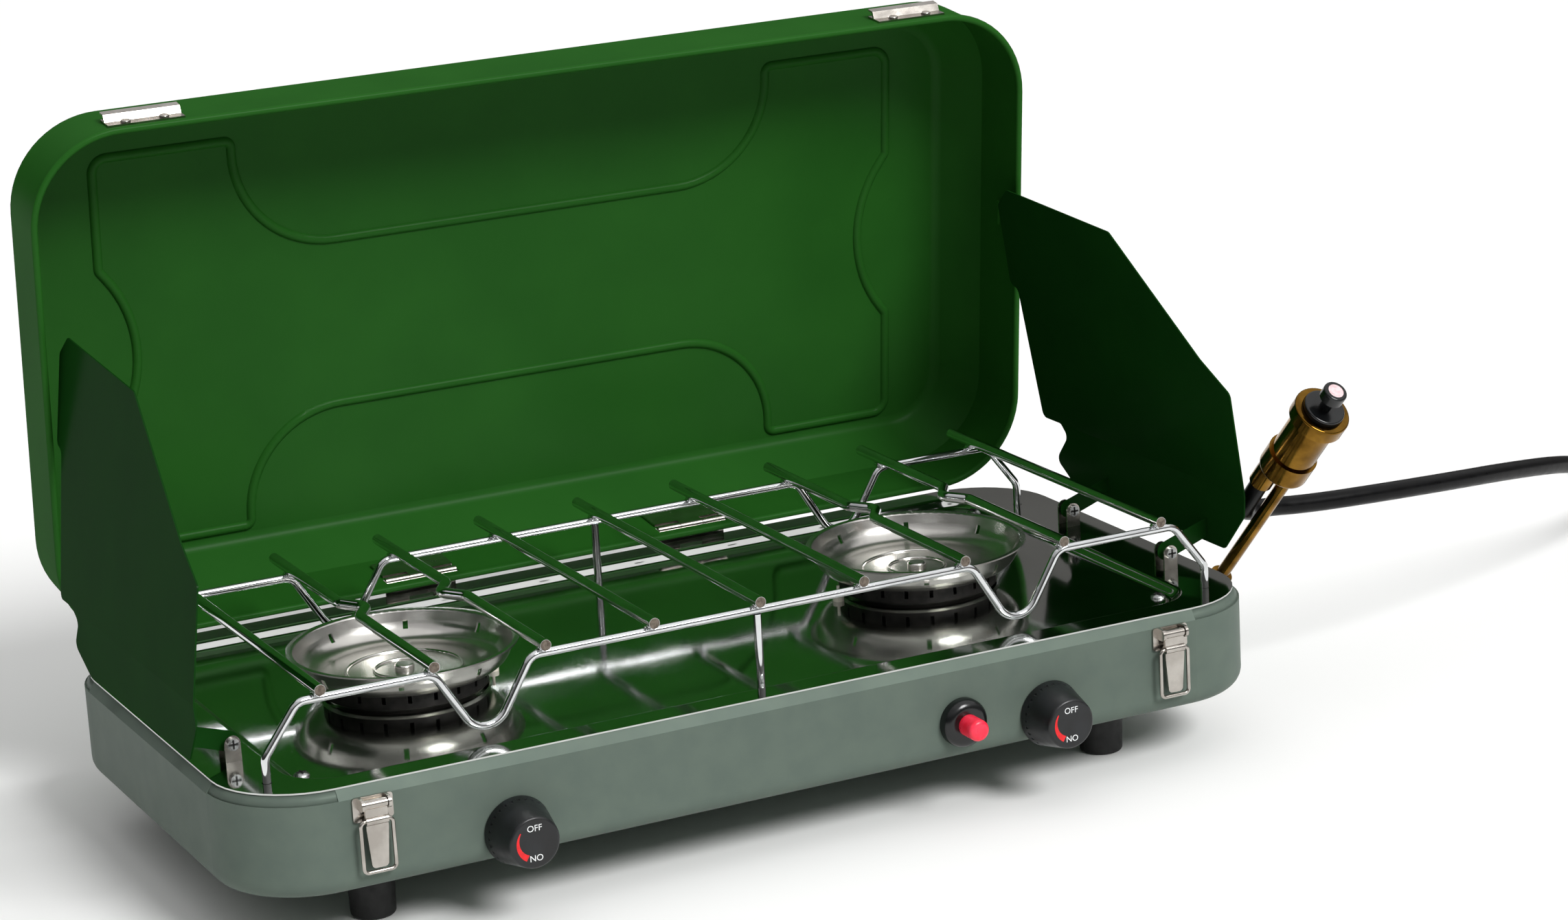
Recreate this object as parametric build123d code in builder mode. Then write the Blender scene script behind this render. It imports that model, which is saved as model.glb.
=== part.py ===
from build123d import *
from math import atan, cos, degrees, pi, radians, sin, sqrt, tan
import os

# Two-burner folding camping stove: a pressed case on rubber feet, a polished cooktop pan, a wire
# grate, two burners, a hinged lid, two folding wind wings, and a regulator with its gas hose.
# Millimetres. X runs to the right, Y to the back, Z up, and the table is at Z = 0.

# Sheet gauges, seats and running fits
SHEET = 1.0                 # case and lid steel
PAN_SHEET = 0.8             # cooktop, dishes and wings
SEAT = 0.3                  # gap where a piece is seated beside another
RUN = 0.05                  # radial running clearance of pins and shafts

# Case
CASE_L = 560.0
CASE_W = 278.0
CASE_R = 48.0               # plan corner radius
CASE_EDGE_R = 9.0           # rounding under the case
FOOT_H = 30.6
CASE_H = 52.4               # from the underside to the top of the cooktop flange
HEM_H = 5.0                 # inward-sloped strip along each straight wall
HEM_IN = 3.5

# Feet
FOOT_IN_X = 77.5            # foot axis from the end wall
FOOT_IN_Y = 49.0            # foot axis from the long wall
FOOT_R = 12.0
FOOT_TIP_R = 11.0
FOOT_SCREW_R = 2.0
FOOT_SCREW_HEAD_R = 4.0
FOOT_BORE_R = 5.0
FOOT_BORE_H = 12.0

# Cooktop pan
PAN_DEPTH = 13.0
PAN_DRAFT = 17.0
PAN_CORNER_R = 34.0
PAN_FLANGE = 5.3            # flange from its edge to the mouth of the pan
PAN_SKIRT_H = 7.0
PAN_SKIRT_IN = 1.8          # skirt set in from the flange edge
PAN_FILLET = 3.0
PLATEAU_R = 70.0            # raised round under each burner
PLATEAU_RISE = 1.0
PLATEAU_SLOPE = 72.0
POST_IN_X = 45.0
POST_IN_Y = 41.0
POST_R = 5.0
SCREW_R = 1.8
SCREW_HEAD_R = 4.0
SCREW_HEAD_H = 2.2

# Burners
BURNER_OFF = 2.5            # burner axis outside the middle between its two rods
BURNER_Y = -3.0
DISH_R = 58.0
DISH_FLOOR_R = 51.0
DISH_H = 14.5
DISH_LIP = 2.4
DISH_BEND_R = 12.0
DISH_LIP_R = 1.4
DISH_RIDGES = (15.0, 29.0)
RIDGE_R = 0.9
DISH_SLOTS = 8
DISH_SLOT_W = 2.6
DISH_SLOT_H = 5.0
PORT_RING_R = 41.5
PORT_RING_T = 5.0
PORT_RING_H = 7.0
PORT_SLOTS = 20
CUP_H = 10.0
CUP_BASE_R = 33.0
CUP_FLANGE_R = 40.0
MIX_TUBE_R = 10.0
MIX_TUBE_WALL = 1.2
MIX_BEND_R = 26.0
CAP_SCREW_R = 2.5
CAP_SCREW_HEAD_R = 5.0

# Gas train behind the front wall
KNOB_Z = 45.0
VALVE_R = 9.0
VALVE_L = 26.0
VALVE_NECK_R = 5.0
VALVE_NECK_L = 5.0
STEM_R = 3.0
STEM_IN = 14.0              # stem length inside the valve
JET_R = 4.0
JET_L = 12.0
JET_OVERLAP = 6.0           # jet inside the mouth of the mixing tube
MANIFOLD_R = 3.5
MANIFOLD_Z = 37.0
MANIFOLD_Y = 17.0           # behind the inner face of the front wall
MANIFOLD_BEND_R = 14.0
MANIFOLD_TURN_IN = 75.0     # turn toward the inlet, from the end wall
VALVE_PORT = 11.0           # valve axis to the face that the manifold meets

# Knobs
KNOB_R = 17.0
KNOB_H = 21.0
KNOB_TAPER = 12.0
KNOB_GAP = 0.8
KNOB_SKIRT = 3.0
KNOB_BORE = 13.0
FLUTES = 28
FLUTE_R = 1.1

# Igniter
IGNITER_OFF = 50.0          # left of the right knob
IGNITER_Z = 50.5
BEZEL_R = 12.5
BEZEL_H = 7.0
BUTTON_R = 5.5
BUTTON_OUT = 19.0
BUTTON_IN = 9.0
BUTTON_TRAVEL = 6.0
IGNITER_R = 8.8
IGNITER_L = 36.0
LEAD_R = 1.2
CERAMIC_R = 3.0
ELECTRODE_R = 0.8
ELECTRODE_OFF = 47.0        # from the burner axis
ELECTRODE_DROP = 12.0       # ceramic below the floor of the pan

# Grate
ROD_R = 2.8
WIRE_R = 2.1
ROD_COUNT = 9
ROD_END = 10.0              # last rod from the shoulder of the wires
ROD_PAST_FRONT = 5.0
ROD_PAST_BACK = 22.0
GRATE_H = 54.0              # rod axis above the floor of the pan
WIRE_IN_FRONT = 29.0        # wires from the front and back walls
WIRE_IN_BACK = 54.0
LEG_IN = 24.0               # legs from the end walls
SHOULDER_RUN = 18.0
SHOULDER_H = 24.0
DIP_HALF = 25.0
DIP_H = 41.5                # corner that the dip is rounded from
DIP_BEND_R = 12.0
WIRE_BEND_R = 8.0
KINK_DEPTH = 9.0
KINK_HALF = 14.0
WELD = 0.02
GROMMET_R = 4.0
GROMMET_H = 4.0

# Lid
LID_IN_X = 0.6              # lid wall inside the case wall, at each end
LID_IN_Y = 4.0
LID_WALL = 40.0             # straight part of the side walls
LID_DEPTH = 64.0
LID_SLOPE = 35.5
LID_LEAN = 6.1              # rim plane leans forward of upright by this angle
LID_SHOULDER_R = 12.0
LID_PANEL_R = 8.0
RIM_ROLL_R = 1.8
BEAD_R = 2.8
BEAD_IN_X = 50.0            # bead from the lid's end walls
BEAD_LOW = 24.5             # bead from the hinge wall
BEAD_IN_HIGH = 32.0         # bead from the latch wall
BEAD_NOTCH_IN = 75.0        # notch flank from the bead's end
BEAD_NOTCH_DEPTH = 61.0
BEAD_NOTCH_R = 54.0
BEAD_CORNER_R = 8.0
BEAD_KNEE_R = 4.0
BEAD_SIDE_HALF = 47.0       # half the height of the bow in each end
BEAD_SIDE_DEPTH = 36.0      # corner that the bow is rounded from
BEAD_SIDE_R = 70.0
HOOK_UP = 150.0
HOOK_DEPTH = 14.0
HOOK_OUT = 3.5

# Lid hinges
HINGE_X = 80.0
HINGE_L = 40.0
LEAF_T = 1.2
KNUCKLE_R = 2.0
HINGE_PIN_R = 1.0
HINGE_UP = 7.3              # axis above the cooktop flange
HINGE_DEPTH = 9.4           # axis behind the rim of the open lid
LEAF_DROP = 26.0
LEAF_BACK = 22.0

# Latches and strikes
LATCH_IN = 64.0             # latches from the end walls
LATCH_W = 20.0
LATCH_UNDER = 8.5           # latch pin below the top of the case
LATCH_OUT = 4.6             # latch pin in front of the wall
LATCH_PIN_R = 1.1
EAR_T = 1.5
EAR_R = 3.0
LEVER_W = 11.0
LEVER_TIP_W = 8.0
LEVER_L = 31.0
LEVER_T = 1.6
LEVER_BARREL_R = 2.2
BAIL_DROP = 8.0             # bail pivot below the latch pin
BAIL_W = 16.0
BAIL_L = 25.0
BAIL_R = 1.0
STRIKE_L = 40.0
STRIKE_T = 1.0
STRIKE_NEAR = 7.0           # strike behind the rim of the lid
STRIKE_REACH = 13.0
STRIKE_RIVET_R = 2.6

# Wind wings
WING_PIVOT_IN = 21.0        # pivot inside the end wall
WING_PIVOT_H = 22.0         # heights are above the floor of the pan
WING_PIVOTS_IN = (206.5, 106.0)  # pivots from the back wall
WING_FOLD_OUT = 6.0         # fold outside the end wall
WING_FOLD_H = 55.0
WING_FOOT_OUT = 4.6
WING_FOOT_H = 23.0
WING_TOP_IN = 11.5          # top edge inside the end wall
WING_TOP_H = 187.0
WING_CORNER_R = 4.0
WING_SHAPE = (              # distance from the back wall and height of each corner
    (225.0, WING_FOOT_H),
    (71.0, WING_FOOT_H),
    (51.0, 34.0),
    (63.0, 49.0),
    (55.0, WING_FOLD_H),
    (36.0, WING_FOLD_H),
    (30.0, 129.0),
    (22.5, 131.0),
    (22.5, 177.0),
    (35.0, WING_TOP_H),
    (142.0, 181.0),
    (218.0, 125.0),
    (243.0, 111.0),
    (243.0, 44.0),
)
LUG_R = 5.0
PIVOT_R = 1.5
BRACKET_W = 8.0
BRACKET_GAP = 8.0           # between the two ears
BRACKET_T = 1.0
BRACKET_PIN_R = 1.1
BRACKET_PIN_H = 8.0

# Regulator
INLET_Y = -53.0
INLET_Z = 60.0
INLET_R = 5.0
ELBOW_OUT = 15.0
ELBOW_R = 6.0
REG_AXIS = (0.085, -0.650, 0.755)
REG_SIDE = (0.776, -0.432, -0.459)
REG_TUBE_R = 3.5
REG_TUBE_L = 103.0
REG_TUBE_OFF = 5.0          # tube port from the regulator axis
HOSE_PORT_OFF = 5.9         # hose port on the other side of the axis
REG_R = 12.0
REG_L = 50.0
REG_COLLAR_R = 13.4
REG_COLLAR_H = 14.0
REG_COLLAR_EDGE = 2.5
REG_FLANGE_R = 15.0
REG_FLANGE_H = 8.0
REG_CAP_R = 11.0
REG_CAP_RECESS = 3.0
REG_CAP_H = 6.0
REG_KNOB_R = 6.3
REG_KNOB_H = 6.0
REG_KNOB_OUT = 16.0

# Hose, its coil and its cylinder connector
HOSE_R = 5.0
FERRULE_T = 1.2
FERRULE_L = 14.0
COIL_OUT = 495.2            # coil centre from the right wall
COIL_BACK = 128.6
COIL_HEADING = (0.595, 0.804)
COIL_R = 60.0               # outer turn
COIL_STEP = 5.5             # change of radius in each half turn
COIL_LAYER = 10.5
COIL_TAIL = 34.0            # straight end that reaches clear of the turns
TIE_T = 1.0
TIE_W = 8.0
CONNECTOR_NUT_R = 16.0
CONNECTOR_NUT_L = 20.0
CONNECTOR_GRIPS = 16
CONNECTOR_GRIP_R = 2.5
CONNECTOR_GRIP_OUT = 1.5    # grip centres outside the nut
CONNECTOR_DRAFT = 15.0

# Heights and faces that follow from the sizes above
RIM_Z = FOOT_H + CASE_H
HEM_TOP = RIM_Z - PAN_SHEET
CREASE_Z = HEM_TOP - HEM_H
CASE_INSIDE = FOOT_H + SHEET
FRONT_Y = -CASE_W / 2
RIGHT_X = CASE_L / 2
FOOT_X = CASE_L / 2 - FOOT_IN_X
FOOT_Y = CASE_W / 2 - FOOT_IN_Y
POST_X = CASE_L / 2 - POST_IN_X
POST_Y = CASE_W / 2 - POST_IN_Y
LEG_X = CASE_L / 2 - LEG_IN
SHOULDER_X = LEG_X - SHOULDER_RUN
ROD_PITCH = (SHOULDER_X - ROD_END) / (ROD_COUNT // 2)
BURNER_X = 2.5 * ROD_PITCH + BURNER_OFF
IGNITER_X = BURNER_X - IGNITER_OFF
LATCH_X = CASE_L / 2 - LATCH_IN
MANIFOLD_TURN_X = CASE_L / 2 - MANIFOLD_TURN_IN
WIRE_FRONT = FRONT_Y + WIRE_IN_FRONT
WIRE_BACK = CASE_W / 2 - WIRE_IN_BACK
ROD_FRONT = WIRE_FRONT - ROD_PAST_FRONT
ROD_BACK = WIRE_BACK + ROD_PAST_BACK
LID_L = CASE_L - 2 * LID_IN_X
LID_W = CASE_W - 2 * LID_IN_Y
LID_R = CASE_R - SHEET
PAN_FLOOR = RIM_Z - PAN_DEPTH
PLATEAU_TOP = PAN_FLOOR + PLATEAU_RISE
CUP_TOP = PLATEAU_TOP + CUP_H
DISH_FLOOR = CUP_TOP + PORT_RING_H
ROD_Z = PAN_FLOOR + GRATE_H
WIRE_Z = ROD_Z - ROD_R - WIRE_R - WELD
WING_PIVOT_X = CASE_L / 2 - WING_PIVOT_IN
WING_PIVOT_YS = [CASE_W / 2 - back for back in WING_PIVOTS_IN]
WING_OUTLINE = [(CASE_W / 2 - back, PAN_FLOOR + height) for back, height in WING_SHAPE]
WING_FOOT = (CASE_L / 2 + WING_FOOT_OUT, PAN_FLOOR + WING_FOOT_H)
WING_FOLD = (CASE_L / 2 + WING_FOLD_OUT, PAN_FLOOR + WING_FOLD_H)
WING_TOP = (CASE_L / 2 - WING_TOP_IN, PAN_FLOOR + WING_TOP_H)
PIVOT_Z = PAN_FLOOR + WING_PIVOT_H
LATCH_Y = FRONT_Y - LATCH_OUT
LATCH_Z = RIM_Z - LATCH_UNDER
BAIL_Z = LATCH_Z - BAIL_DROP
VALVE_Y = FRONT_Y + SHEET

FRONT = Plane(origin=(0, FRONT_Y, 0), x_dir=(1, 0, 0), z_dir=(0, -1, 0))
RIGHT = Plane(origin=(RIGHT_X, 0, 0), x_dir=(0, 1, 0), z_dir=(1, 0, 0))
SIDES = (-1, 1)

# The lid stands on its hinge axis, which lies in the middle of its hinge wall
HINGE_Y = CASE_W / 2 + SEAT - (KNUCKLE_R - LEAF_T)
HINGE_Z = RIM_Z + HINGE_UP
LEAN = radians(LID_LEAN)
LID_UP = Vector(0, -sin(LEAN), cos(LEAN))
LID_BACK = Vector(0, cos(LEAN), sin(LEAN))
HINGE_AXIS = Vector(0, HINGE_Y, HINGE_Z)
LID_ORIGIN = HINGE_AXIS - LID_UP * (SHEET / 2) - LID_BACK * HINGE_DEPTH
LID = Plane(origin=LID_ORIGIN, x_dir=(1, 0, 0), z_dir=LID_BACK * -1)


def cross_plane(point):
    """Plane square to X through a point, with the lid's depth and height as its axes."""
    return Plane(origin=point, x_dir=LID_BACK, z_dir=(1, 0, 0))


def xz_plane(y):
    """Plane square to Y whose local axes are X and Z."""
    return Plane(origin=(0, y, 0), x_dir=(1, 0, 0), z_dir=(0, -1, 0))


def swept_rod(points, radii, radius, close=False):
    """Round bar along straight runs joined by tangent arcs."""
    with BuildPart() as rod:
        with BuildLine() as path:
            FilletPolyline(*points, radius=radii, close=close)
        wire = path.wires()[0]
        with BuildSketch(Plane(origin=wire @ 0, z_dir=wire % 0)):
            Circle(radius)
        sweep(path=wire)
    return rod.part


def straight_rod(start, end, radius):
    """Round bar between two points."""
    start, end = Vector(*start), Vector(*end)
    with BuildPart() as rod:
        with BuildSketch(Plane(origin=start, z_dir=end - start)):
            Circle(radius)
        extrude(amount=(end - start).length)
    return rod.part


def gather(parts):
    """Several solids of one kind as one piece."""
    with BuildPart() as group:
        for part in parts:
            add(part)
    return group.part


# Case: pressed box with rounded corners, sloped hem strips and the openings in its walls
HEM_WALLS = (
    (Plane(origin=(0, CASE_W / 2, 0), x_dir=(0, 1, 0), z_dir=(1, 0, 0)), CASE_L - 2 * CASE_R),
    (Plane(origin=(0, -CASE_W / 2, 0), x_dir=(0, -1, 0), z_dir=(-1, 0, 0)), CASE_L - 2 * CASE_R),
    (Plane(origin=(CASE_L / 2, 0, 0), x_dir=(1, 0, 0), z_dir=(0, -1, 0)), CASE_W - 2 * CASE_R),
    (Plane(origin=(-CASE_L / 2, 0, 0), x_dir=(-1, 0, 0), z_dir=(0, 1, 0)), CASE_W - 2 * CASE_R),
)
with BuildPart() as case:
    with BuildSketch(Plane.XY.offset(FOOT_H)):
        RectangleRounded(CASE_L, CASE_W, CASE_R)
    extrude(amount=CREASE_Z - FOOT_H)
    fillet(case.faces().sort_by(Axis.Z)[0].edges(), CASE_EDGE_R)
    offset(amount=-SHEET, openings=case.faces().sort_by(Axis.Z)[-1])
    for wall, run in HEM_WALLS:
        with BuildSketch(wall):
            with BuildLine():
                Polyline(
                    (0, CREASE_Z),
                    (-HEM_IN, HEM_TOP),
                    (-HEM_IN - SHEET, HEM_TOP),
                    (-SHEET, CREASE_Z),
                    close=True,
                )
            make_face()
        extrude(amount=run / 2, both=True)
    with BuildSketch(FRONT):
        with Locations((-BURNER_X, KNOB_Z), (BURNER_X, KNOB_Z)):
            Circle(STEM_R + SEAT)
        with Locations((IGNITER_X, IGNITER_Z)):
            Circle(BUTTON_R + SEAT)
    extrude(amount=-SHEET, mode=Mode.SUBTRACT)
    with BuildSketch(RIGHT):
        with Locations((INLET_Y, INLET_Z)):
            Circle(INLET_R + SEAT)
    extrude(amount=-SHEET, mode=Mode.SUBTRACT)
    with BuildSketch(Plane.XY.offset(FOOT_H)):
        with GridLocations(2 * FOOT_X, 2 * FOOT_Y, 2, 2):
            Circle(FOOT_SCREW_R + SEAT)
    extrude(amount=SHEET, mode=Mode.SUBTRACT)

# Cooktop: pan with a flange over the hem, a short skirt inside it and a raised round at each burner
FLANGE_L = CASE_L - 2 * HEM_IN + 2 * SEAT
FLANGE_W = CASE_W - 2 * HEM_IN + 2 * SEAT
MOUTH_L = FLANGE_L - 2 * PAN_FLANGE
MOUTH_W = FLANGE_W - 2 * PAN_FLANGE
SKIRT_L = FLANGE_L - 2 * PAN_SKIRT_IN
SKIRT_W = FLANGE_W - 2 * PAN_SKIRT_IN
SKIRT_R = CASE_R - HEM_IN - PAN_SKIRT_IN
ELECTRODE_X = BURNER_X - ELECTRODE_OFF
with BuildPart() as cooktop:
    with BuildSketch(Plane.XY.offset(RIM_Z)):
        RectangleRounded(FLANGE_L, FLANGE_W, CASE_R - HEM_IN + SEAT)
    extrude(amount=-PAN_SHEET)
    with BuildSketch(Plane.XY.offset(HEM_TOP)):
        RectangleRounded(SKIRT_L, SKIRT_W, SKIRT_R)
        RectangleRounded(
            SKIRT_L - 2 * PAN_SHEET,
            SKIRT_W - 2 * PAN_SHEET,
            SKIRT_R - PAN_SHEET,
            mode=Mode.SUBTRACT,
        )
    extrude(amount=-PAN_SKIRT_H)
    with BuildSketch(Plane.XY.offset(HEM_TOP)):
        RectangleRounded(MOUTH_L + 2 * PAN_SHEET, MOUTH_W + 2 * PAN_SHEET, PAN_CORNER_R + PAN_SHEET)
    extrude(amount=-PAN_DEPTH, taper=PAN_DRAFT)
    fillet(cooktop.faces().sort_by(Axis.Z)[0].edges(), PAN_FILLET + PAN_SHEET)
    with BuildSketch(Plane.XY.offset(RIM_Z)):
        RectangleRounded(MOUTH_L, MOUTH_W, PAN_CORNER_R)
    extrude(amount=-PAN_DEPTH, taper=PAN_DRAFT, mode=Mode.SUBTRACT)
    pan_floor = cooktop.faces().filter_by(Axis.Z).sort_by(Axis.Z)[1]
    fillet(pan_floor.edges(), PAN_FILLET)
    for foot, mode in ((PAN_FLOOR, Mode.ADD), (PAN_FLOOR - PAN_SHEET, Mode.SUBTRACT)):
        with BuildSketch(Plane.XY.offset(foot)):
            with Locations((-BURNER_X, BURNER_Y), (BURNER_X, BURNER_Y)):
                Circle(PLATEAU_R)
        extrude(amount=PLATEAU_RISE, taper=PLATEAU_SLOPE, mode=mode)
    with BuildSketch(Plane.XY.offset(PLATEAU_TOP)):
        with Locations((-BURNER_X, BURNER_Y), (BURNER_X, BURNER_Y)):
            Circle(MIX_TUBE_R + SEAT)
        with Locations((-ELECTRODE_X, BURNER_Y), (ELECTRODE_X, BURNER_Y)):
            Circle(CERAMIC_R + SEAT)
        with GridLocations(2 * POST_X, 2 * POST_Y, 2, 2):
            Circle(SCREW_R + SEAT)
    extrude(amount=-PLATEAU_RISE - PAN_SHEET, mode=Mode.SUBTRACT)

with BuildPart() as cooktop_posts:
    with BuildSketch(Plane.XY.offset(CASE_INSIDE)):
        with GridLocations(2 * POST_X, 2 * POST_Y, 2, 2):
            Circle(POST_R)
            Circle(SCREW_R + RUN, mode=Mode.SUBTRACT)
    extrude(amount=PAN_FLOOR - PAN_SHEET - CASE_INSIDE)

with BuildPart() as cooktop_screws:
    with BuildSketch(Plane.XY.offset(PAN_FLOOR)):
        with GridLocations(2 * POST_X, 2 * POST_Y, 2, 2):
            Circle(SCREW_HEAD_R)
    extrude(amount=SCREW_HEAD_H)
    fillet(cooktop_screws.faces().group_by(Axis.Z)[-1].edges(), SCREW_HEAD_H / 2)
    with BuildSketch(Plane.XY.offset(PAN_FLOOR)):
        with GridLocations(2 * POST_X, 2 * POST_Y, 2, 2):
            Circle(SCREW_R)
    extrude(amount=-6 * SCREW_R)

# Feet: tapered rubber bumpers, each held by a screw from below
with BuildPart() as feet:
    with BuildSketch(Plane.XY.offset(FOOT_H)):
        with GridLocations(2 * FOOT_X, 2 * FOOT_Y, 2, 2):
            Circle(FOOT_R)
    extrude(amount=-FOOT_H, taper=degrees(atan((FOOT_R - FOOT_TIP_R) / FOOT_H)))
    fillet(feet.faces().group_by(Axis.Z)[0].edges(), FOOT_TIP_R / 6)
    with BuildSketch(Plane.XY):
        with GridLocations(2 * FOOT_X, 2 * FOOT_Y, 2, 2):
            Circle(FOOT_BORE_R)
    extrude(amount=FOOT_BORE_H, mode=Mode.SUBTRACT)
    with BuildSketch(Plane.XY):
        with GridLocations(2 * FOOT_X, 2 * FOOT_Y, 2, 2):
            Circle(FOOT_SCREW_R + RUN)
    extrude(amount=FOOT_H, mode=Mode.SUBTRACT)

with BuildPart() as foot_screws:
    with BuildSketch(Plane.XY.offset(FOOT_BORE_H)):
        with GridLocations(2 * FOOT_X, 2 * FOOT_Y, 2, 2):
            Circle(FOOT_SCREW_HEAD_R)
    extrude(amount=-FOOT_SCREW_R)
    with BuildSketch(Plane.XY.offset(FOOT_BORE_H)):
        with GridLocations(2 * FOOT_X, 2 * FOOT_Y, 2, 2):
            Circle(FOOT_SCREW_R)
    extrude(amount=CASE_INSIDE - FOOT_BORE_H + 2 * FOOT_SCREW_R)


# Burners
def burner_axis(side):
    return Axis((side * BURNER_X, BURNER_Y, 0), (0, 0, 1))


def burner_plane(side):
    """Upright plane through a burner's axis, with radius and height as its axes."""
    return Plane(origin=(side * BURNER_X, BURNER_Y, 0), x_dir=(1, 0, 0), z_dir=(0, -1, 0))


CUP_R = PORT_RING_R + PAN_SHEET
BAR_LOW = 3 * SHEET
BAR_R = CUP_R - (CUP_R - CUP_BASE_R) * BAR_LOW / CUP_H - SHEET / 2
with BuildPart() as burner_cups:
    for side in SIDES:
        with BuildSketch(burner_plane(side)):
            with BuildLine():
                Polyline(
                    (MIX_TUBE_R + RUN, PLATEAU_TOP),
                    (CUP_FLANGE_R, PLATEAU_TOP),
                    (CUP_FLANGE_R, PLATEAU_TOP + PAN_SHEET),
                    (CUP_BASE_R, PLATEAU_TOP + PAN_SHEET),
                    (CUP_R, CUP_TOP),
                    (CUP_R - SHEET, CUP_TOP),
                    (CUP_BASE_R - SHEET, PLATEAU_TOP + SHEET),
                    (MIX_TUBE_R + SHEET, PLATEAU_TOP + SHEET),
                    (MIX_TUBE_R + SHEET, PLATEAU_TOP + CUP_H / 2),
                    (MIX_TUBE_R + RUN, PLATEAU_TOP + CUP_H / 2),
                    close=True,
                )
            make_face()
        revolve(axis=burner_axis(side))
        with BuildSketch(Plane(origin=(side * BURNER_X, BURNER_Y, CUP_TOP - BAR_LOW))):
            Rectangle(2 * BAR_R, 2 * CAP_SCREW_R)
            Circle(2 * CAP_SCREW_R)
            Circle(CAP_SCREW_R + RUN, mode=Mode.SUBTRACT)
        extrude(amount=2 * SHEET)

with BuildPart() as burner_port_rings:
    for side in SIDES:
        with BuildSketch(Plane(origin=(side * BURNER_X, BURNER_Y, CUP_TOP))):
            Circle(PORT_RING_R)
            Circle(PORT_RING_R - PORT_RING_T, mode=Mode.SUBTRACT)
        extrude(amount=PORT_RING_H)
        with BuildSketch(Plane(origin=(side * BURNER_X, BURNER_Y, DISH_FLOOR))):
            with PolarLocations(PORT_RING_R, PORT_SLOTS):
                Rectangle(3 * PORT_RING_T, 2 * SHEET)
        extrude(amount=-0.65 * PORT_RING_H, mode=Mode.SUBTRACT)

DISH_TOP = DISH_FLOOR + DISH_H
with BuildPart() as burner_dishes:
    for side in SIDES:
        with BuildSketch(burner_plane(side)):
            with BuildLine():
                under = FilletPolyline(
                    (CAP_SCREW_R + RUN, DISH_FLOOR),
                    (DISH_FLOOR_R, DISH_FLOOR),
                    (DISH_R - DISH_LIP, DISH_TOP - PAN_SHEET),
                    (DISH_R, DISH_TOP - PAN_SHEET),
                    radius=(DISH_BEND_R + PAN_SHEET, DISH_LIP_R - PAN_SHEET),
                )
                over = FilletPolyline(
                    (CAP_SCREW_R + RUN, DISH_FLOOR + PAN_SHEET),
                    (DISH_FLOOR_R - PAN_SHEET, DISH_FLOOR + PAN_SHEET),
                    (DISH_R - DISH_LIP - PAN_SHEET, DISH_TOP),
                    (DISH_R, DISH_TOP),
                    radius=(DISH_BEND_R, DISH_LIP_R),
                )
                Line(under @ 0, over @ 0)
                Line(under @ 1, over @ 1)
            make_face()
            for radius in DISH_RIDGES:
                with Locations((radius, DISH_FLOOR + PAN_SHEET)):
                    Circle(RIDGE_R)
                with Locations((radius, DISH_FLOOR - RIDGE_R)):
                    Rectangle(2 * RIDGE_R, 2 * RIDGE_R, mode=Mode.SUBTRACT)
        revolve(axis=burner_axis(side))
        slot_top = Plane(origin=(side * BURNER_X, BURNER_Y, DISH_FLOOR + (DISH_H + DISH_SLOT_H) / 2))
        with BuildSketch(slot_top):
            with PolarLocations((DISH_R + DISH_FLOOR_R) / 2, DISH_SLOTS, start_angle=180 / DISH_SLOTS):
                Rectangle(DISH_R - DISH_FLOOR_R, DISH_SLOT_W)
        extrude(amount=-DISH_SLOT_H, mode=Mode.SUBTRACT)

with BuildPart() as burner_screws:
    for side in SIDES:
        with BuildSketch(Plane(origin=(side * BURNER_X, BURNER_Y, DISH_FLOOR + PAN_SHEET))):
            Circle(CAP_SCREW_HEAD_R)
        extrude(amount=CAP_SCREW_R)
        with BuildSketch(Plane(origin=(side * BURNER_X, BURNER_Y, DISH_FLOOR + PAN_SHEET))):
            Circle(CAP_SCREW_R)
        extrude(amount=-(PORT_RING_H + PAN_SHEET + 3 * SHEET))
    fillet(burner_screws.faces().group_by(Axis.Z)[-1].edges(), CAP_SCREW_R / 2)

# Gas train: valves clamped to the front wall, the manifold, the jets and the mixing tubes
JET_Y = VALVE_Y + VALVE_L
with BuildPart() as valve_bodies:
    for side in SIDES:
        with BuildSketch(Plane(origin=(side * BURNER_X, VALVE_Y, KNOB_Z), z_dir=(0, 1, 0))):
            Circle(VALVE_NECK_R)
        extrude(amount=VALVE_NECK_L)
        with BuildSketch(
            Plane(origin=(side * BURNER_X, VALVE_Y + VALVE_NECK_L, KNOB_Z), z_dir=(0, 1, 0))
        ):
            Circle(VALVE_R)
        extrude(amount=VALVE_L - VALVE_NECK_L)
        with BuildSketch(Plane(origin=(side * BURNER_X, VALVE_Y + MANIFOLD_Y, MANIFOLD_Z))):
            Rectangle(2 * VALVE_PORT, 3 * MANIFOLD_R)
        extrude(amount=KNOB_Z - MANIFOLD_Z)
        with BuildSketch(Plane(origin=(side * BURNER_X, VALVE_Y + MANIFOLD_Y, MANIFOLD_Z))):
            Rectangle(2 * VALVE_PORT, 3 * MANIFOLD_R)
        extrude(amount=-MANIFOLD_R - SHEET)
        with BuildSketch(Plane(origin=(side * BURNER_X, VALVE_Y, KNOB_Z), z_dir=(0, 1, 0))):
            Circle(STEM_R + RUN)
        extrude(amount=STEM_IN + SEAT, mode=Mode.SUBTRACT)

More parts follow.
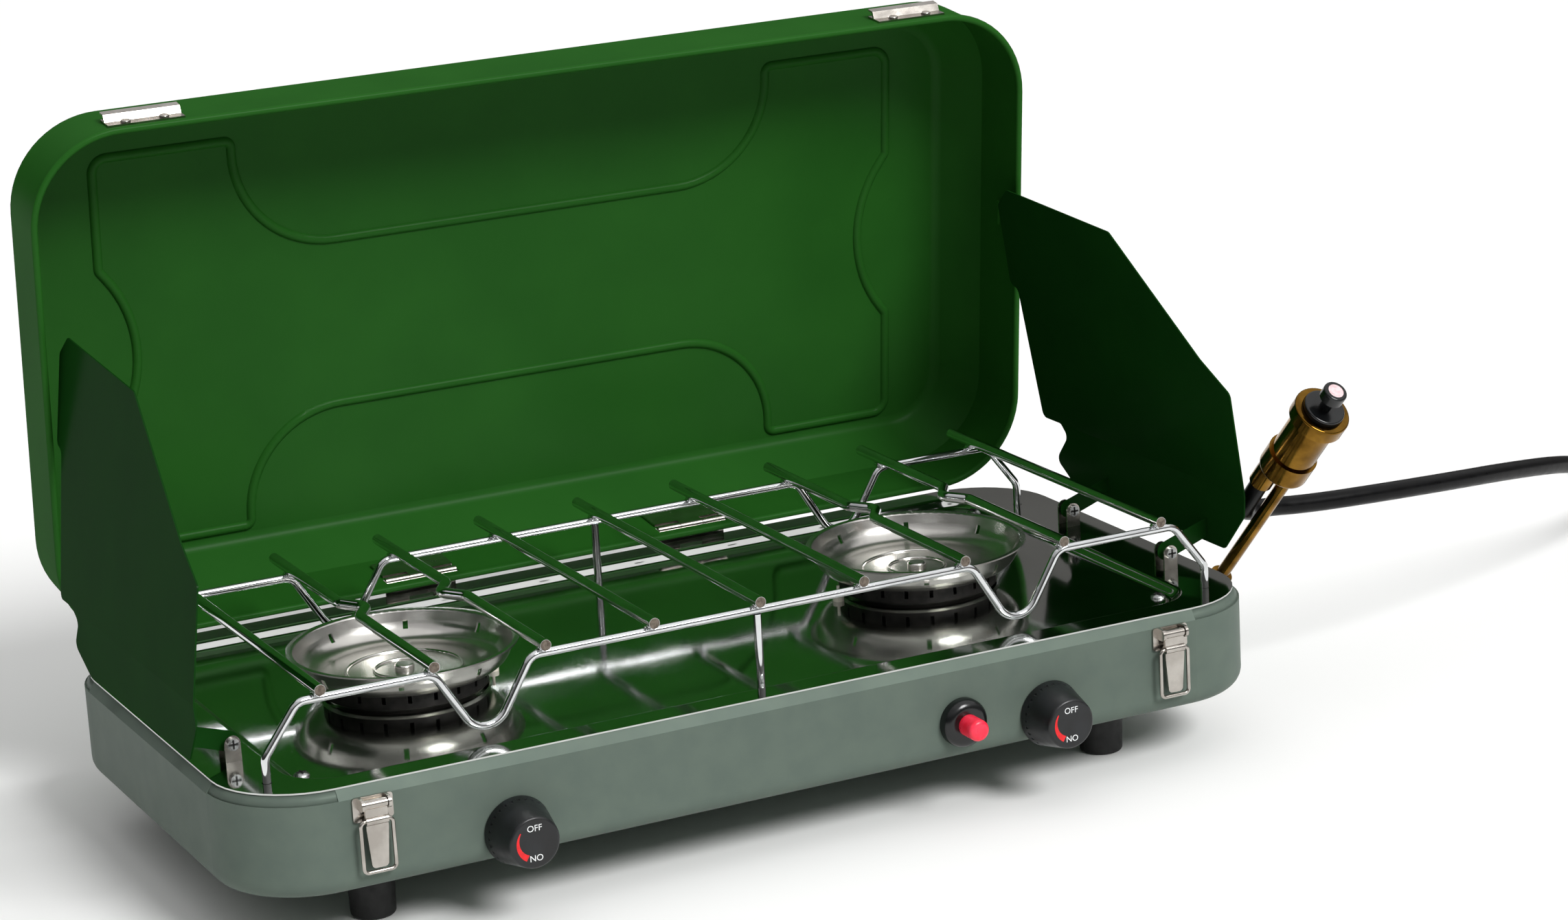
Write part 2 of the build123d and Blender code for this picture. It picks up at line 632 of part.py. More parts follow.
MANIFOLD_ROW = VALVE_Y + MANIFOLD_Y
INLET_IN = RIGHT_X - 3 * ELBOW_R
gas_manifold = gather(
    (
        straight_rod(
            (-BURNER_X + VALVE_PORT, MANIFOLD_ROW, MANIFOLD_Z),
            (BURNER_X - VALVE_PORT, MANIFOLD_ROW, MANIFOLD_Z),
            MANIFOLD_R,
        ),
        swept_rod(
            [
                (BURNER_X + VALVE_PORT, MANIFOLD_ROW, MANIFOLD_Z),
                (MANIFOLD_TURN_X, MANIFOLD_ROW, MANIFOLD_Z),
                (MANIFOLD_TURN_X, INLET_Y, INLET_Z),
                (INLET_IN, INLET_Y, INLET_Z),
            ],
            MANIFOLD_BEND_R,
            MANIFOLD_R,
        ),
    )
)

with BuildPart() as gas_jets:
    for side in SIDES:
        with BuildSketch(Plane(origin=(side * BURNER_X, JET_Y, KNOB_Z), z_dir=(0, 1, 0))):
            RegularPolygon(JET_R, 6)
        extrude(amount=JET_L - JET_R)
        with BuildSketch(Plane(origin=(side * BURNER_X, JET_Y, KNOB_Z), z_dir=(0, 1, 0))):
            Circle(JET_R / 2)
        extrude(amount=JET_L)

MIX_MOUTH_Y = JET_Y + JET_L - JET_OVERLAP
with BuildPart() as mixing_tubes:
    for side in SIDES:
        with BuildLine() as mix_path:
            FilletPolyline(
                (side * BURNER_X, MIX_MOUTH_Y, KNOB_Z),
                (side * BURNER_X, BURNER_Y, KNOB_Z),
                (side * BURNER_X, BURNER_Y, PLATEAU_TOP + CUP_H / 2),
                radius=min(MIX_BEND_R, PLATEAU_TOP - KNOB_Z),
            )
        mix_wire = mix_path.wires()[0]
        with BuildSketch(Plane(origin=mix_wire @ 0, z_dir=mix_wire % 0)):
            Circle(MIX_TUBE_R)
            Circle(MIX_TUBE_R - MIX_TUBE_WALL, mode=Mode.SUBTRACT)
        sweep(path=mix_wire)


# Knobs on their valve stems
def make_knob(side):
    with BuildPart() as knob:
        with BuildSketch(FRONT.offset(KNOB_GAP)):
            with Locations((side * BURNER_X, KNOB_Z)):
                Circle(KNOB_R)
        extrude(amount=KNOB_H, taper=KNOB_TAPER)
        fillet(knob.faces().sort_by(Axis.Y)[0].edges(), KNOB_SKIRT / 2)
        with BuildSketch(FRONT.offset(KNOB_GAP + KNOB_SKIRT)):
            with Locations((side * BURNER_X, KNOB_Z)):
                with PolarLocations(KNOB_R, FLUTES):
                    Circle(FLUTE_R)
        extrude(amount=KNOB_H, mode=Mode.SUBTRACT)
        with BuildSketch(FRONT.offset(KNOB_GAP)):
            with Locations((side * BURNER_X, KNOB_Z)):
                Circle(STEM_R + RUN)
        extrude(amount=KNOB_BORE, mode=Mode.SUBTRACT)
    return knob.part


def make_stem(side):
    with BuildPart() as stem:
        with BuildSketch(FRONT.offset(KNOB_GAP + KNOB_BORE - SEAT)):
            with Locations((side * BURNER_X, KNOB_Z)):
                Circle(STEM_R)
        extrude(amount=-(KNOB_GAP + KNOB_BORE - SEAT + SHEET + STEM_IN))
    return stem.part


# Igniter: bezel, push button, body behind the wall, and a lead to an electrode at each burner
with BuildPart() as igniter_bezel:
    with BuildSketch(FRONT):
        with Locations((IGNITER_X, IGNITER_Z)):
            Circle(BEZEL_R)
    extrude(amount=BEZEL_H)
    fillet(igniter_bezel.faces().sort_by(Axis.Y)[0].edges(), 0.7 * BEZEL_H)
    with BuildSketch(FRONT):
        with Locations((IGNITER_X, IGNITER_Z)):
            Circle(BUTTON_R + RUN)
    extrude(amount=BEZEL_H, mode=Mode.SUBTRACT)

with BuildPart() as igniter_button:
    with BuildSketch(FRONT.offset(BUTTON_OUT)):
        with Locations((IGNITER_X, IGNITER_Z)):
            Circle(BUTTON_R)
    extrude(amount=-(BUTTON_OUT + BUTTON_IN))
    fillet(igniter_button.faces().sort_by(Axis.Y)[0].edges(), 0.4 * BUTTON_R)

with BuildPart() as igniter_body:
    with BuildSketch(FRONT.offset(-SHEET)):
        with Locations((IGNITER_X, IGNITER_Z)):
            Circle(IGNITER_R)
    extrude(amount=-IGNITER_L)
    with BuildSketch(FRONT.offset(-SHEET)):
        with Locations((IGNITER_X, IGNITER_Z)):
            Circle(BUTTON_R + RUN)
    extrude(amount=-(BUTTON_IN + BUTTON_TRAVEL), mode=Mode.SUBTRACT)

ELECTRODE_LOW = PAN_FLOOR - ELECTRODE_DROP
with BuildPart() as electrodes:
    for side in SIDES:
        with BuildSketch(Plane(origin=(side * ELECTRODE_X, BURNER_Y, ELECTRODE_LOW))):
            Circle(CERAMIC_R)
        extrude(amount=CUP_TOP - ELECTRODE_LOW)
        with BuildSketch(Plane(origin=(side * ELECTRODE_X, BURNER_Y, CUP_TOP))):
            Circle(ELECTRODE_R)
        extrude(amount=0.8 * PORT_RING_H)

LEAD_Y = FRONT_Y + SHEET + IGNITER_L
LEAD_OFF = IGNITER_R / 2
igniter_leads = gather(
    swept_rod(
        [
            (IGNITER_X + side * LEAD_OFF, LEAD_Y, IGNITER_Z),
            (IGNITER_X + side * LEAD_OFF, (LEAD_Y + BURNER_Y) / 2, IGNITER_Z),
            (side * ELECTRODE_X, BURNER_Y, IGNITER_Z - side * LEAD_R),
            (side * ELECTRODE_X, BURNER_Y, ELECTRODE_LOW),
        ],
        2 * LEAD_R,
        LEAD_R,
    )
    for side in SIDES
)


# Grate: two bent wires on corner legs, nine rods welded across them and two middle legs
def bent_wire(y):
    right = [
        (BURNER_X - DIP_HALF, WIRE_Z, WIRE_BEND_R),
        (BURNER_X, WIRE_Z - DIP_H, DIP_BEND_R),
        (BURNER_X + DIP_HALF, WIRE_Z, WIRE_BEND_R),
        (SHOULDER_X, WIRE_Z, WIRE_BEND_R),
        (LEG_X, WIRE_Z - SHOULDER_H, WIRE_BEND_R),
        (LEG_X, PAN_FLOOR, 0),
    ]
    corners = [(-x, z, bend) for x, z, bend in reversed(right)] + right
    bends = [bend for x, z, bend in corners[1:-1]]
    return swept_rod([(x, y, z) for x, z, bend in corners], bends, WIRE_R)


def grate_rod(x):
    toward = 0 if x == 0 else (1 if abs(x) < BURNER_X else -1) * (1 if x > 0 else -1)
    beside_burner = abs(abs(x) - BURNER_X) < ROD_PITCH
    if not beside_burner:
        return straight_rod((x, ROD_FRONT, ROD_Z), (x, ROD_BACK, ROD_Z), ROD_R)
    return swept_rod(
        [
            (x, ROD_FRONT, ROD_Z),
            (x, BURNER_Y - KINK_HALF, ROD_Z),
            (x + toward * KINK_DEPTH, BURNER_Y, ROD_Z),
            (x, BURNER_Y + KINK_HALF, ROD_Z),
            (x, ROD_BACK, ROD_Z),
        ],
        2.5 * ROD_R,
        ROD_R,
    )


grate_front_wire = bent_wire(WIRE_FRONT)
grate_back_wire = bent_wire(WIRE_BACK)
grate_rods = gather(grate_rod((i - (ROD_COUNT - 1) / 2) * ROD_PITCH) for i in range(ROD_COUNT))

with BuildPart() as grate_mid_legs:
    with BuildSketch(Plane.XY.offset(PAN_FLOOR)):
        with Locations((0, WIRE_FRONT), (0, WIRE_BACK)):
            Circle(WIRE_R)
    extrude(amount=WIRE_Z - WIRE_R - WELD - PAN_FLOOR)

LEG_SPOTS = [(x, y) for x in (-LEG_X, 0, LEG_X) for y in (WIRE_FRONT, WIRE_BACK)]
with BuildPart() as leg_grommets:
    with BuildSketch(Plane.XY.offset(PAN_FLOOR)):
        with Locations(*LEG_SPOTS):
            Circle(GROMMET_R)
            Circle(WIRE_R + RUN, mode=Mode.SUBTRACT)
    extrude(amount=GROMMET_H)

# Lid: pressed tray with sloped shoulders, a rolled rim, a panel bead and a hook on each side
BEAD_X = LID_L / 2 - BEAD_IN_X
BEAD_HIGH = LID_W - BEAD_IN_HIGH
BEAD_MIDDLE = (BEAD_LOW + BEAD_HIGH) / 2
NOTCH_X = BEAD_X - BEAD_NOTCH_IN
BEAD_ROUND = [
    (NOTCH_X, BEAD_LOW + BEAD_NOTCH_DEPTH, BEAD_NOTCH_R),
    (NOTCH_X, BEAD_LOW, BEAD_KNEE_R),
    (BEAD_X, BEAD_LOW, BEAD_CORNER_R),
    (BEAD_X, BEAD_MIDDLE - BEAD_SIDE_HALF, BEAD_KNEE_R),
    (BEAD_X - BEAD_SIDE_DEPTH, BEAD_MIDDLE, BEAD_SIDE_R),
    (BEAD_X, BEAD_MIDDLE + BEAD_SIDE_HALF, BEAD_KNEE_R),
    (BEAD_X, BEAD_HIGH, BEAD_CORNER_R),
    (NOTCH_X, BEAD_HIGH, BEAD_KNEE_R),
    (NOTCH_X, BEAD_HIGH - BEAD_NOTCH_DEPTH, BEAD_NOTCH_R),
]
BEAD_ROUND += [(-x, up, radius) for x, up, radius in reversed(BEAD_ROUND)]
LID_CORNERS = [
    (-LID_L / 2, 0),
    (LID_L / 2, 0),
    (LID_L / 2, LID_W),
    (-LID_L / 2, LID_W),
]
LID_INNER_X = LID_L / 2 - SHEET
with BuildPart() as lid:
    with BuildSketch(LID):
        with Locations((0, LID_W / 2)):
            RectangleRounded(LID_L, LID_W, LID_R)
    extrude(amount=-LID_WALL)
    with BuildSketch(LID.offset(-LID_WALL)):
        with Locations((0, LID_W / 2)):
            RectangleRounded(LID_L, LID_W, LID_R)
    extrude(amount=-(LID_DEPTH - LID_WALL), taper=LID_SLOPE)
    lid_back = Axis(LID_ORIGIN, LID_BACK)
    fillet(lid.faces().sort_by(lid_back)[-1].edges(), LID_PANEL_R)
    offset(amount=-SHEET, openings=lid.faces().sort_by(lid_back)[0])
    with BuildLine(LID) as rim_line:
        FilletPolyline(*LID_CORNERS, radius=LID_R, close=True)
    rim_wire = rim_line.wires()[0]
    with BuildSketch(Plane(origin=rim_wire @ 0, z_dir=rim_wire % 0)):
        Circle(RIM_ROLL_R)
    sweep(path=rim_wire)
    with BuildLine(LID.offset(-LID_DEPTH)) as bead_line:
        FilletPolyline(
            *[(x, up) for x, up, radius in BEAD_ROUND],
            radius=[radius for x, up, radius in BEAD_ROUND],
            close=True,
        )
    bead_wire = bead_line.wires()[0]
    bead_start = Plane(origin=bead_wire @ 0, x_dir=LID.z_dir, z_dir=bead_wire % 0)
    with BuildSketch(bead_start):
        with BuildLine():
            CenterArc((0, 0), BEAD_R, -90, 180)
            Line((0, BEAD_R), (0, -BEAD_R))
        make_face()
    sweep(path=bead_wire)
    with BuildSketch(bead_start):
        with BuildLine():
            CenterArc((0, 0), BEAD_R - SHEET, -90, 180)
            Line((0, BEAD_R - SHEET), (0, SHEET - BEAD_R))
        make_face()
    sweep(path=bead_wire, mode=Mode.SUBTRACT)
    with BuildSketch(LID.offset(-HINGE_DEPTH)):
        with Locations((-HINGE_X, 0), (HINGE_X, 0)):
            Rectangle(HINGE_L + 4 * SEAT, 4 * SHEET)
    extrude(amount=2 * KNUCKLE_R, both=True, mode=Mode.SUBTRACT)
    for side in SIDES:
        with BuildSketch(LID.offset(-HOOK_DEPTH)):
            with Locations((side * (LID_INNER_X - HOOK_OUT / 2 + SHEET / 4), HOOK_UP)):
                Rectangle(HOOK_OUT + SHEET / 2, 4 * HOOK_OUT)
        extrude(amount=-2 * SHEET)

# Hinges: a leaf on the case, a leaf in the lid and a pin for each
KNUCKLE_L = HINGE_L / 3 - SEAT
with BuildPart() as hinge_case_leaves:
    for side in SIDES:
        for end in SIDES:
            middle = side * HINGE_X + end * (HINGE_L - KNUCKLE_L) / 2
            with BuildSketch(Plane.YZ.offset(middle)):
                with Locations((HINGE_Y, HINGE_Z)):
                    Circle(KNUCKLE_R)
                with Locations((HINGE_Y + KNUCKLE_R - LEAF_T / 2, HINGE_Z)):
                    Rectangle(LEAF_T, LEAF_DROP, align=(Align.CENTER, Align.MAX))
                with Locations((HINGE_Y, HINGE_Z)):
                    Circle(HINGE_PIN_R + RUN, mode=Mode.SUBTRACT)
            extrude(amount=KNUCKLE_L / 2, both=True)
        with BuildSketch(Plane.YZ.offset(side * HINGE_X)):
            with Locations((HINGE_Y + KNUCKLE_R - LEAF_T / 2, HINGE_Z - 2 * KNUCKLE_R)):
                Rectangle(LEAF_T, LEAF_DROP - 2 * KNUCKLE_R, align=(Align.CENTER, Align.MAX))
        extrude(amount=HINGE_L / 2, both=True)

with BuildPart() as hinge_lid_leaves:
    for side in SIDES:
        with BuildSketch(cross_plane(HINGE_AXIS + Vector(side * HINGE_X, 0, 0))):
            Circle(KNUCKLE_R)
            with Locations((0, KNUCKLE_R - LEAF_T)):
                Rectangle(LEAF_BACK, LEAF_T, align=(Align.MIN, Align.MIN))
            Circle(HINGE_PIN_R + RUN, mode=Mode.SUBTRACT)
        extrude(amount=KNUCKLE_L / 2, both=True)
        with BuildSketch(cross_plane(HINGE_AXIS + Vector(side * HINGE_X, 0, 0))):
            with Locations((2 * KNUCKLE_R, KNUCKLE_R - LEAF_T)):
                Rectangle(LEAF_BACK - 2 * KNUCKLE_R, LEAF_T, align=(Align.MIN, Align.MIN))
        extrude(amount=HINGE_L / 2, both=True)

with BuildPart() as hinge_pins:
    for side in SIDES:
        with BuildSketch(Plane.YZ.offset(side * HINGE_X)):
            with Locations((HINGE_Y, HINGE_Z)):
                Circle(HINGE_PIN_R)
        extrude(amount=HINGE_L / 2, both=True)

# Strikes on the lid's front wall, above the latches
STRIKE_POINT = LID_ORIGIN + LID_UP * LID_W
with BuildPart() as lid_strikes:
    for side in SIDES:
        with BuildSketch(cross_plane(STRIKE_POINT + Vector(side * LATCH_X, 0, 0))):
            with BuildLine():
                Polyline(
                    (STRIKE_NEAR, 0),
                    (STRIKE_NEAR + STRIKE_REACH, 0),
                    (STRIKE_NEAR + STRIKE_REACH, STRIKE_T),
                    (STRIKE_NEAR + 0.6 * STRIKE_REACH, STRIKE_T),
                    (STRIKE_NEAR + 0.7 * STRIKE_REACH, 3.5 * STRIKE_T),
                    (STRIKE_NEAR + STRIKE_REACH, 4 * STRIKE_T),
                    (STRIKE_NEAR + STRIKE_REACH, 5 * STRIKE_T),
                    (STRIKE_NEAR + 0.62 * STRIKE_REACH, 4.5 * STRIKE_T),
                    (STRIKE_NEAR + 0.48 * STRIKE_REACH, STRIKE_T),
                    (STRIKE_NEAR, STRIKE_T),
                    close=True,
                )
            make_face()
        extrude(amount=STRIKE_L / 2, both=True)

STRIKE_FACE = Plane(
    origin=STRIKE_POINT + LID_UP * STRIKE_T + LID_BACK * (STRIKE_NEAR + 0.24 * STRIKE_REACH),
    x_dir=(1, 0, 0),
    z_dir=LID_UP,
)
with BuildPart() as strike_rivets:
    with BuildSketch(STRIKE_FACE):
        for side in SIDES:
            for end in SIDES:
                with Locations((side * LATCH_X + end * STRIKE_L / 4, 0)):
                    Circle(STRIKE_RIVET_R)
    extrude(amount=STRIKE_RIVET_R / 2)
    fillet(strike_rivets.faces().group_by(Axis(STRIKE_POINT, LID_UP))[-1].edges(), STRIKE_RIVET_R / 3)

# Latches: riveted base with two ears, a pin, a lever on the pin and a wire bail on the lever
EAR_X = LEVER_W / 2 + SEAT
with BuildPart() as latch_bases:
    for side in SIDES:
        with BuildSketch(FRONT):
            with Locations((side * LATCH_X, LATCH_Z - EAR_R)):
                RectangleRounded(LATCH_W, 4 * EAR_R, EAR_R / 2)
        extrude(amount=LEAF_T)
        for end in SIDES:
            ear_middle = side * LATCH_X + end * (EAR_X + EAR_T / 2)
            with BuildSketch(Plane.YZ.offset(ear_middle)):
                with Locations((LATCH_Y, LATCH_Z)):
                    Circle(EAR_R)
                with Locations((FRONT_Y - LATCH_OUT / 2, LATCH_Z)):
                    Rectangle(LATCH_OUT, 2 * EAR_R)
                with Locations((LATCH_Y, LATCH_Z)):
                    Circle(LATCH_PIN_R + RUN, mode=Mode.SUBTRACT)
            extrude(amount=EAR_T / 2, both=True)

with BuildPart() as latch_pins:
    for side in SIDES:
        with BuildSketch(Plane.YZ.offset(side * LATCH_X)):
            with Locations((LATCH_Y, LATCH_Z)):
                Circle(LATCH_PIN_R)
        extrude(amount=EAR_X + EAR_T, both=True)


def make_lever(side):
    with BuildPart() as lever:
        with BuildSketch(FRONT.offset(LATCH_OUT - LEVER_T / 2)) as outline:
            with BuildLine():
                Polyline(
                    (side * LATCH_X - LEVER_W / 2, LATCH_Z),
                    (side * LATCH_X + LEVER_W / 2, LATCH_Z),
                    (side * LATCH_X + LEVER_W / 2, BAIL_Z - BAIL_DROP / 2),
                    (side * LATCH_X + LEVER_TIP_W / 2, LATCH_Z - LEVER_L),
                    (side * LATCH_X - LEVER_TIP_W / 2, LATCH_Z - LEVER_L),
                    (side * LATCH_X - LEVER_W / 2, BAIL_Z - BAIL_DROP / 2),
                    close=True,
                )
            make_face()
            fillet(outline.vertices().group_by(Axis.Y)[0], LEVER_TIP_W / 4)
        extrude(amount=LEVER_T)
        with BuildSketch(Plane.YZ.offset(side * LATCH_X)):
            with Locations((LATCH_Y, LATCH_Z), (LATCH_Y, BAIL_Z)):
                Circle(LEVER_BARREL_R)
        extrude(amount=LEVER_W / 2, both=True)
        with BuildSketch(Plane.YZ.offset(side * LATCH_X)):
            with Locations((LATCH_Y, LATCH_Z)):
                Circle(LATCH_PIN_R + RUN)
            with Locations((LATCH_Y, BAIL_Z)):
                Circle(BAIL_R + RUN)
        extrude(amount=LEVER_W, both=True, mode=Mode.SUBTRACT)
    return lever.part


def make_bail(side):
    right = side * LATCH_X + BAIL_W / 2
    left = side * LATCH_X - BAIL_W / 2
    corners = [
        (right, LATCH_Y, BAIL_Z),
        (right, LATCH_Y, BAIL_Z - BAIL_L),
        (left, LATCH_Y, BAIL_Z - BAIL_L),
        (left, LATCH_Y, BAIL_Z),
    ]
    return swept_rod(corners, 2.5 * BAIL_R, BAIL_R, close=True)


# Wind wings: bent sheet cut to its outline, with two lugs that turn on the bracket screws
def make_wing(side):
    with BuildPart() as wing:
        with BuildSketch(xz_plane(0)):
            with BuildLine():
                outside = (WING_FOOT, WING_FOLD, WING_TOP)
                inside = [(x - PAN_SHEET, z) for x, z in reversed(outside)]
                Polyline(*outside, *inside, close=True)
            make_face()
        extrude(amount=CASE_W / 2, both=True)
        with BuildSketch(Plane.YZ) as outline:
            with BuildLine():
                Polyline(*WING_OUTLINE, close=True)
            make_face()
            fillet(outline.vertices(), WING_CORNER_R)
        extrude(amount=CASE_L, mode=Mode.INTERSECT)
        for y in WING_PIVOT_YS:
            with BuildSketch(xz_plane(y)):
                with Locations((WING_PIVOT_X, PIVOT_Z)):
                    Circle(LUG_R)
                with Locations((WING_FOOT[0] - PAN_SHEET / 4, WING_FOOT[1] + 1.5 * LUG_R)):
                    Rectangle(PAN_SHEET / 2, 2 * LUG_R)
                make_hull()
            extrude(amount=PAN_SHEET / 2, both=True)
            with BuildSketch(xz_plane(y)):
                with Locations((WING_PIVOT_X, PIVOT_Z)):
                    Circle(PIVOT_R + RUN)
            extrude(amount=PAN_SHEET, both=True, mode=Mode.SUBTRACT)
        if side < 0:
            mirror(about=Plane.YZ, mode=Mode.REPLACE)
    return wing.part


BRACKET_TOP = PIVOT_Z + BRACKET_W / 2
BRACKET_SPOTS = [(side * WING_PIVOT_X, y) for side in SIDES for y in WING_PIVOT_YS]
PIN_Z = PAN_FLOOR + BRACKET_PIN_H
with BuildPart() as wing_brackets:
    with BuildSketch(Plane.XY.offset(PAN_FLOOR)):
        with Locations(*BRACKET_SPOTS):
            Rectangle(BRACKET_W, BRACKET_GAP + 2 * BRACKET_T)
    extrude(amount=BRACKET_T)
    for x, y in BRACKET_SPOTS:
        for end in SIDES:
            with BuildSketch(xz_plane(y + end * (BRACKET_GAP + BRACKET_T) / 2)):
                with Locations((x, (PAN_FLOOR + PIVOT_Z) / 2)):
                    Rectangle(BRACKET_W, PIVOT_Z - PAN_FLOOR)
                with Locations((x, PIVOT_Z)):
                    Circle(BRACKET_W / 2)
                    Circle(PIVOT_R + RUN, mode=Mode.SUBTRACT)
                with Locations((x, PIN_Z)):
                    Circle(BRACKET_PIN_R + RUN, mode=Mode.SUBTRACT)
            extrude(amount=BRACKET_T / 2, both=True)

BRACKET_HALF = BRACKET_GAP / 2 + BRACKET_T
with BuildPart() as wing_pivot_screws:
    for x, y in BRACKET_SPOTS:
        with BuildSketch(xz_plane(y)):
            with Locations((x, PIVOT_Z)):
                Circle(PIVOT_R)
        extrude(amount=BRACKET_HALF + BRACKET_T, both=True)
        with BuildSketch(xz_plane(y - BRACKET_HALF)):
            with Locations((x, PIVOT_Z)):
                Circle(2 * PIVOT_R)
        extrude(amount=PIVOT_R)

with BuildPart() as bracket_pins:
    for x, y in BRACKET_SPOTS:
        with BuildSketch(xz_plane(y)):
            with Locations((x, PIN_Z)):
                Circle(BRACKET_PIN_R)
        extrude(amount=BRACKET_HALF + BRACKET_T, both=True)

# Regulator on its tube, screwed into the inlet elbow on the right wall
ALONG = Vector(*REG_AXIS).normalized()
ACROSS = (Vector(*REG_SIDE) - ALONG * ALONG.dot(Vector(*REG_SIDE))).normalized()
ELBOW = Vector(RIGHT_X + ELBOW_OUT, INLET_Y, INLET_Z)
TUBE_END = ELBOW + ALONG * REG_TUBE_L
REG_BASE = TUBE_END - ACROSS * REG_TUBE_OFF
HOSE_PORT = REG_BASE - ACROSS * HOSE_PORT_OFF
SOCKET_L = 2.4 * ELBOW_R


def along_plane(point, distance=0.0):
    """Plane square to the regulator's axis."""
    return Plane(origin=point + ALONG * distance, x_dir=ACROSS, z_dir=ALONG)


with BuildPart() as inlet_elbow:
    with BuildSketch(Plane.YZ.offset(INLET_IN)):
        with Locations((INLET_Y, INLET_Z)):
            Circle(INLET_R)
    extrude(amount=RIGHT_X - INLET_IN)
    with BuildSketch(RIGHT):
        with Locations((INLET_Y, INLET_Z)):
            RegularPolygon(1.5 * ELBOW_R, 6)
    extrude(amount=ELBOW_R)
    with BuildSketch(RIGHT):
        with Locations((INLET_Y, INLET_Z)):
            Circle(ELBOW_R)
    extrude(amount=ELBOW_OUT + ELBOW_R)
    with BuildSketch(along_plane(ELBOW)):
        Circle(ELBOW_R)
    extrude(amount=SOCKET_L)
    with BuildSketch(along_plane(ELBOW, SOCKET_L)):
        Circle(REG_TUBE_R + RUN)
    extrude(amount=-0.6 * SOCKET_L, mode=Mode.SUBTRACT)

with BuildPart() as regulator_tube:
    with BuildSketch(along_plane(ELBOW, 0.4 * SOCKET_L)):
        Circle(REG_TUBE_R)
    extrude(amount=REG_TUBE_L - 0.4 * SOCKET_L)

with BuildPart() as regulator_body:
    with BuildSketch(along_plane(REG_BASE)):
        Circle(REG_R)
    extrude(amount=REG_L)
    with BuildSketch(along_plane(REG_BASE, REG_L - REG_FLANGE_H)):
        Circle(REG_FLANGE_R)
    extrude(amount=REG_FLANGE_H)
    with BuildSketch(along_plane(REG_BASE)):
        Circle(REG_COLLAR_R)
    extrude(amount=REG_COLLAR_H)
    rims = regulator_body.edges().filter_by(GeomType.CIRCLE).sort_by(Axis(REG_BASE, ALONG))
    fillet(rims[0], REG_COLLAR_EDGE)
    fillet(regulator_body.edges().filter_by(GeomType.CIRCLE).sort_by(Axis(REG_BASE, ALONG))[-1], SHEET)
    with BuildSketch(along_plane(REG_BASE, REG_L)):
        Circle(REG_CAP_R + SEAT)
    extrude(amount=-REG_CAP_RECESS, mode=Mode.SUBTRACT)

with BuildPart() as regulator_cap:
    with BuildSketch(along_plane(REG_BASE, REG_L - REG_CAP_RECESS)):
        Circle(REG_CAP_R)
    extrude(amount=REG_CAP_H)
    fillet(regulator_cap.faces().sort_by(Axis(REG_BASE, ALONG))[-1].edges(), SHEET)

CAP_FACE = REG_L - REG_CAP_RECESS + REG_CAP_H
with BuildPart() as regulator_knob:
    with BuildSketch(along_plane(REG_BASE, CAP_FACE)):
        Circle(REG_KNOB_R / 2)
    extrude(amount=REG_L + REG_KNOB_OUT - CAP_FACE)
    with BuildSketch(along_plane(REG_BASE, REG_L + REG_KNOB_OUT - REG_KNOB_H)):
        Circle(REG_KNOB_R)
    extrude(amount=REG_KNOB_H)
    fillet(regulator_knob.faces().sort_by(Axis(REG_BASE, ALONG))[-1].edges(), SHEET)

with BuildPart() as hose_ferrule:
    with BuildSketch(along_plane(HOSE_PORT)):
        Circle(HOSE_R + RUN + FERRULE_T)
        Circle(HOSE_R + RUN, mode=Mode.SUBTRACT)
    extrude(amount=-FERRULE_L)

# Gas hose: leaves the regulator downward, turns behind its tube and falls to the table
COIL_Y = Vector(*COIL_HEADING, 0).normalized()
COIL_X = COIL_Y.rotate(Axis.Z, -90)
COIL_LOW = TIE_T + SEAT + HOSE_R
COIL = Plane(origin=(RIGHT_X + COIL_OUT, COIL_BACK, COIL_LOW), x_dir=COIL_X, z_dir=(0, 0, 1))
COIL_LEAD = 2 * HOSE_R
COIL_START = COIL.from_local_coords(Vector(-COIL_R, -COIL_LEAD, 0))
HOSE_POINTS = [
    HOSE_PORT,
    HOSE_PORT - ALONG * 22,
    HOSE_PORT - ALONG * 40 + Vector(3, 3, -2),
    Vector(RIGHT_X + 34, -76, 108),
    Vector(RIGHT_X + 62, -76, 105),
    Vector(RIGHT_X + 108, -76, 103),
    Vector(RIGHT_X + 160, -67, 98.5),
    Vector(RIGHT_X + 216, -48, 91),
    Vector(RIGHT_X + 272, -23, 80),
    Vector(RIGHT_X + 317.6, 6.8, 63),
    Vector(RIGHT_X + 355.6, 40.8, 42),
    Vector(RIGHT_X + 386, 78.4, 21.5),
    COIL_START - COIL_Y * 44,
    COIL_START,
]


def corner_radii(points):
    """Largest tangent arc that each corner's two runs leave room for."""
    radii = []
    for before, corner, after in zip(points, points[1:], points[2:]):
        turn = radians((corner - before).get_angle(after - corner))
        run = min((corner - before).length, (after - corner).length)
        radii.append(0.45 * run / tan(turn / 2))
    return radii


HOSE_RADII = corner_radii(HOSE_POINTS)
with BuildPart() as gas_hose:
    with BuildLine() as hose_line:
        FilletPolyline(*HOSE_POINTS, radius=HOSE_RADII)
    hose_wire = hose_line.wires()[0]
    with BuildSketch(Plane(origin=hose_wire @ 0, z_dir=hose_wire % 0)):
        Circle(HOSE_R)
    sweep(path=hose_wire)

# Coil of the rest: in on the lower layer, up in the innermost half turn, out on the upper layer
INNER_R = COIL_R - 2 * COIL_STEP
MIDDLE_R = COIL_R - COIL_STEP
CLIMB_R = sqrt(INNER_R**2 + (COIL_LAYER / 2) ** 2)


def coil_point(x, y, height=0.0):
    return COIL.from_local_coords(Vector(x, y, height))


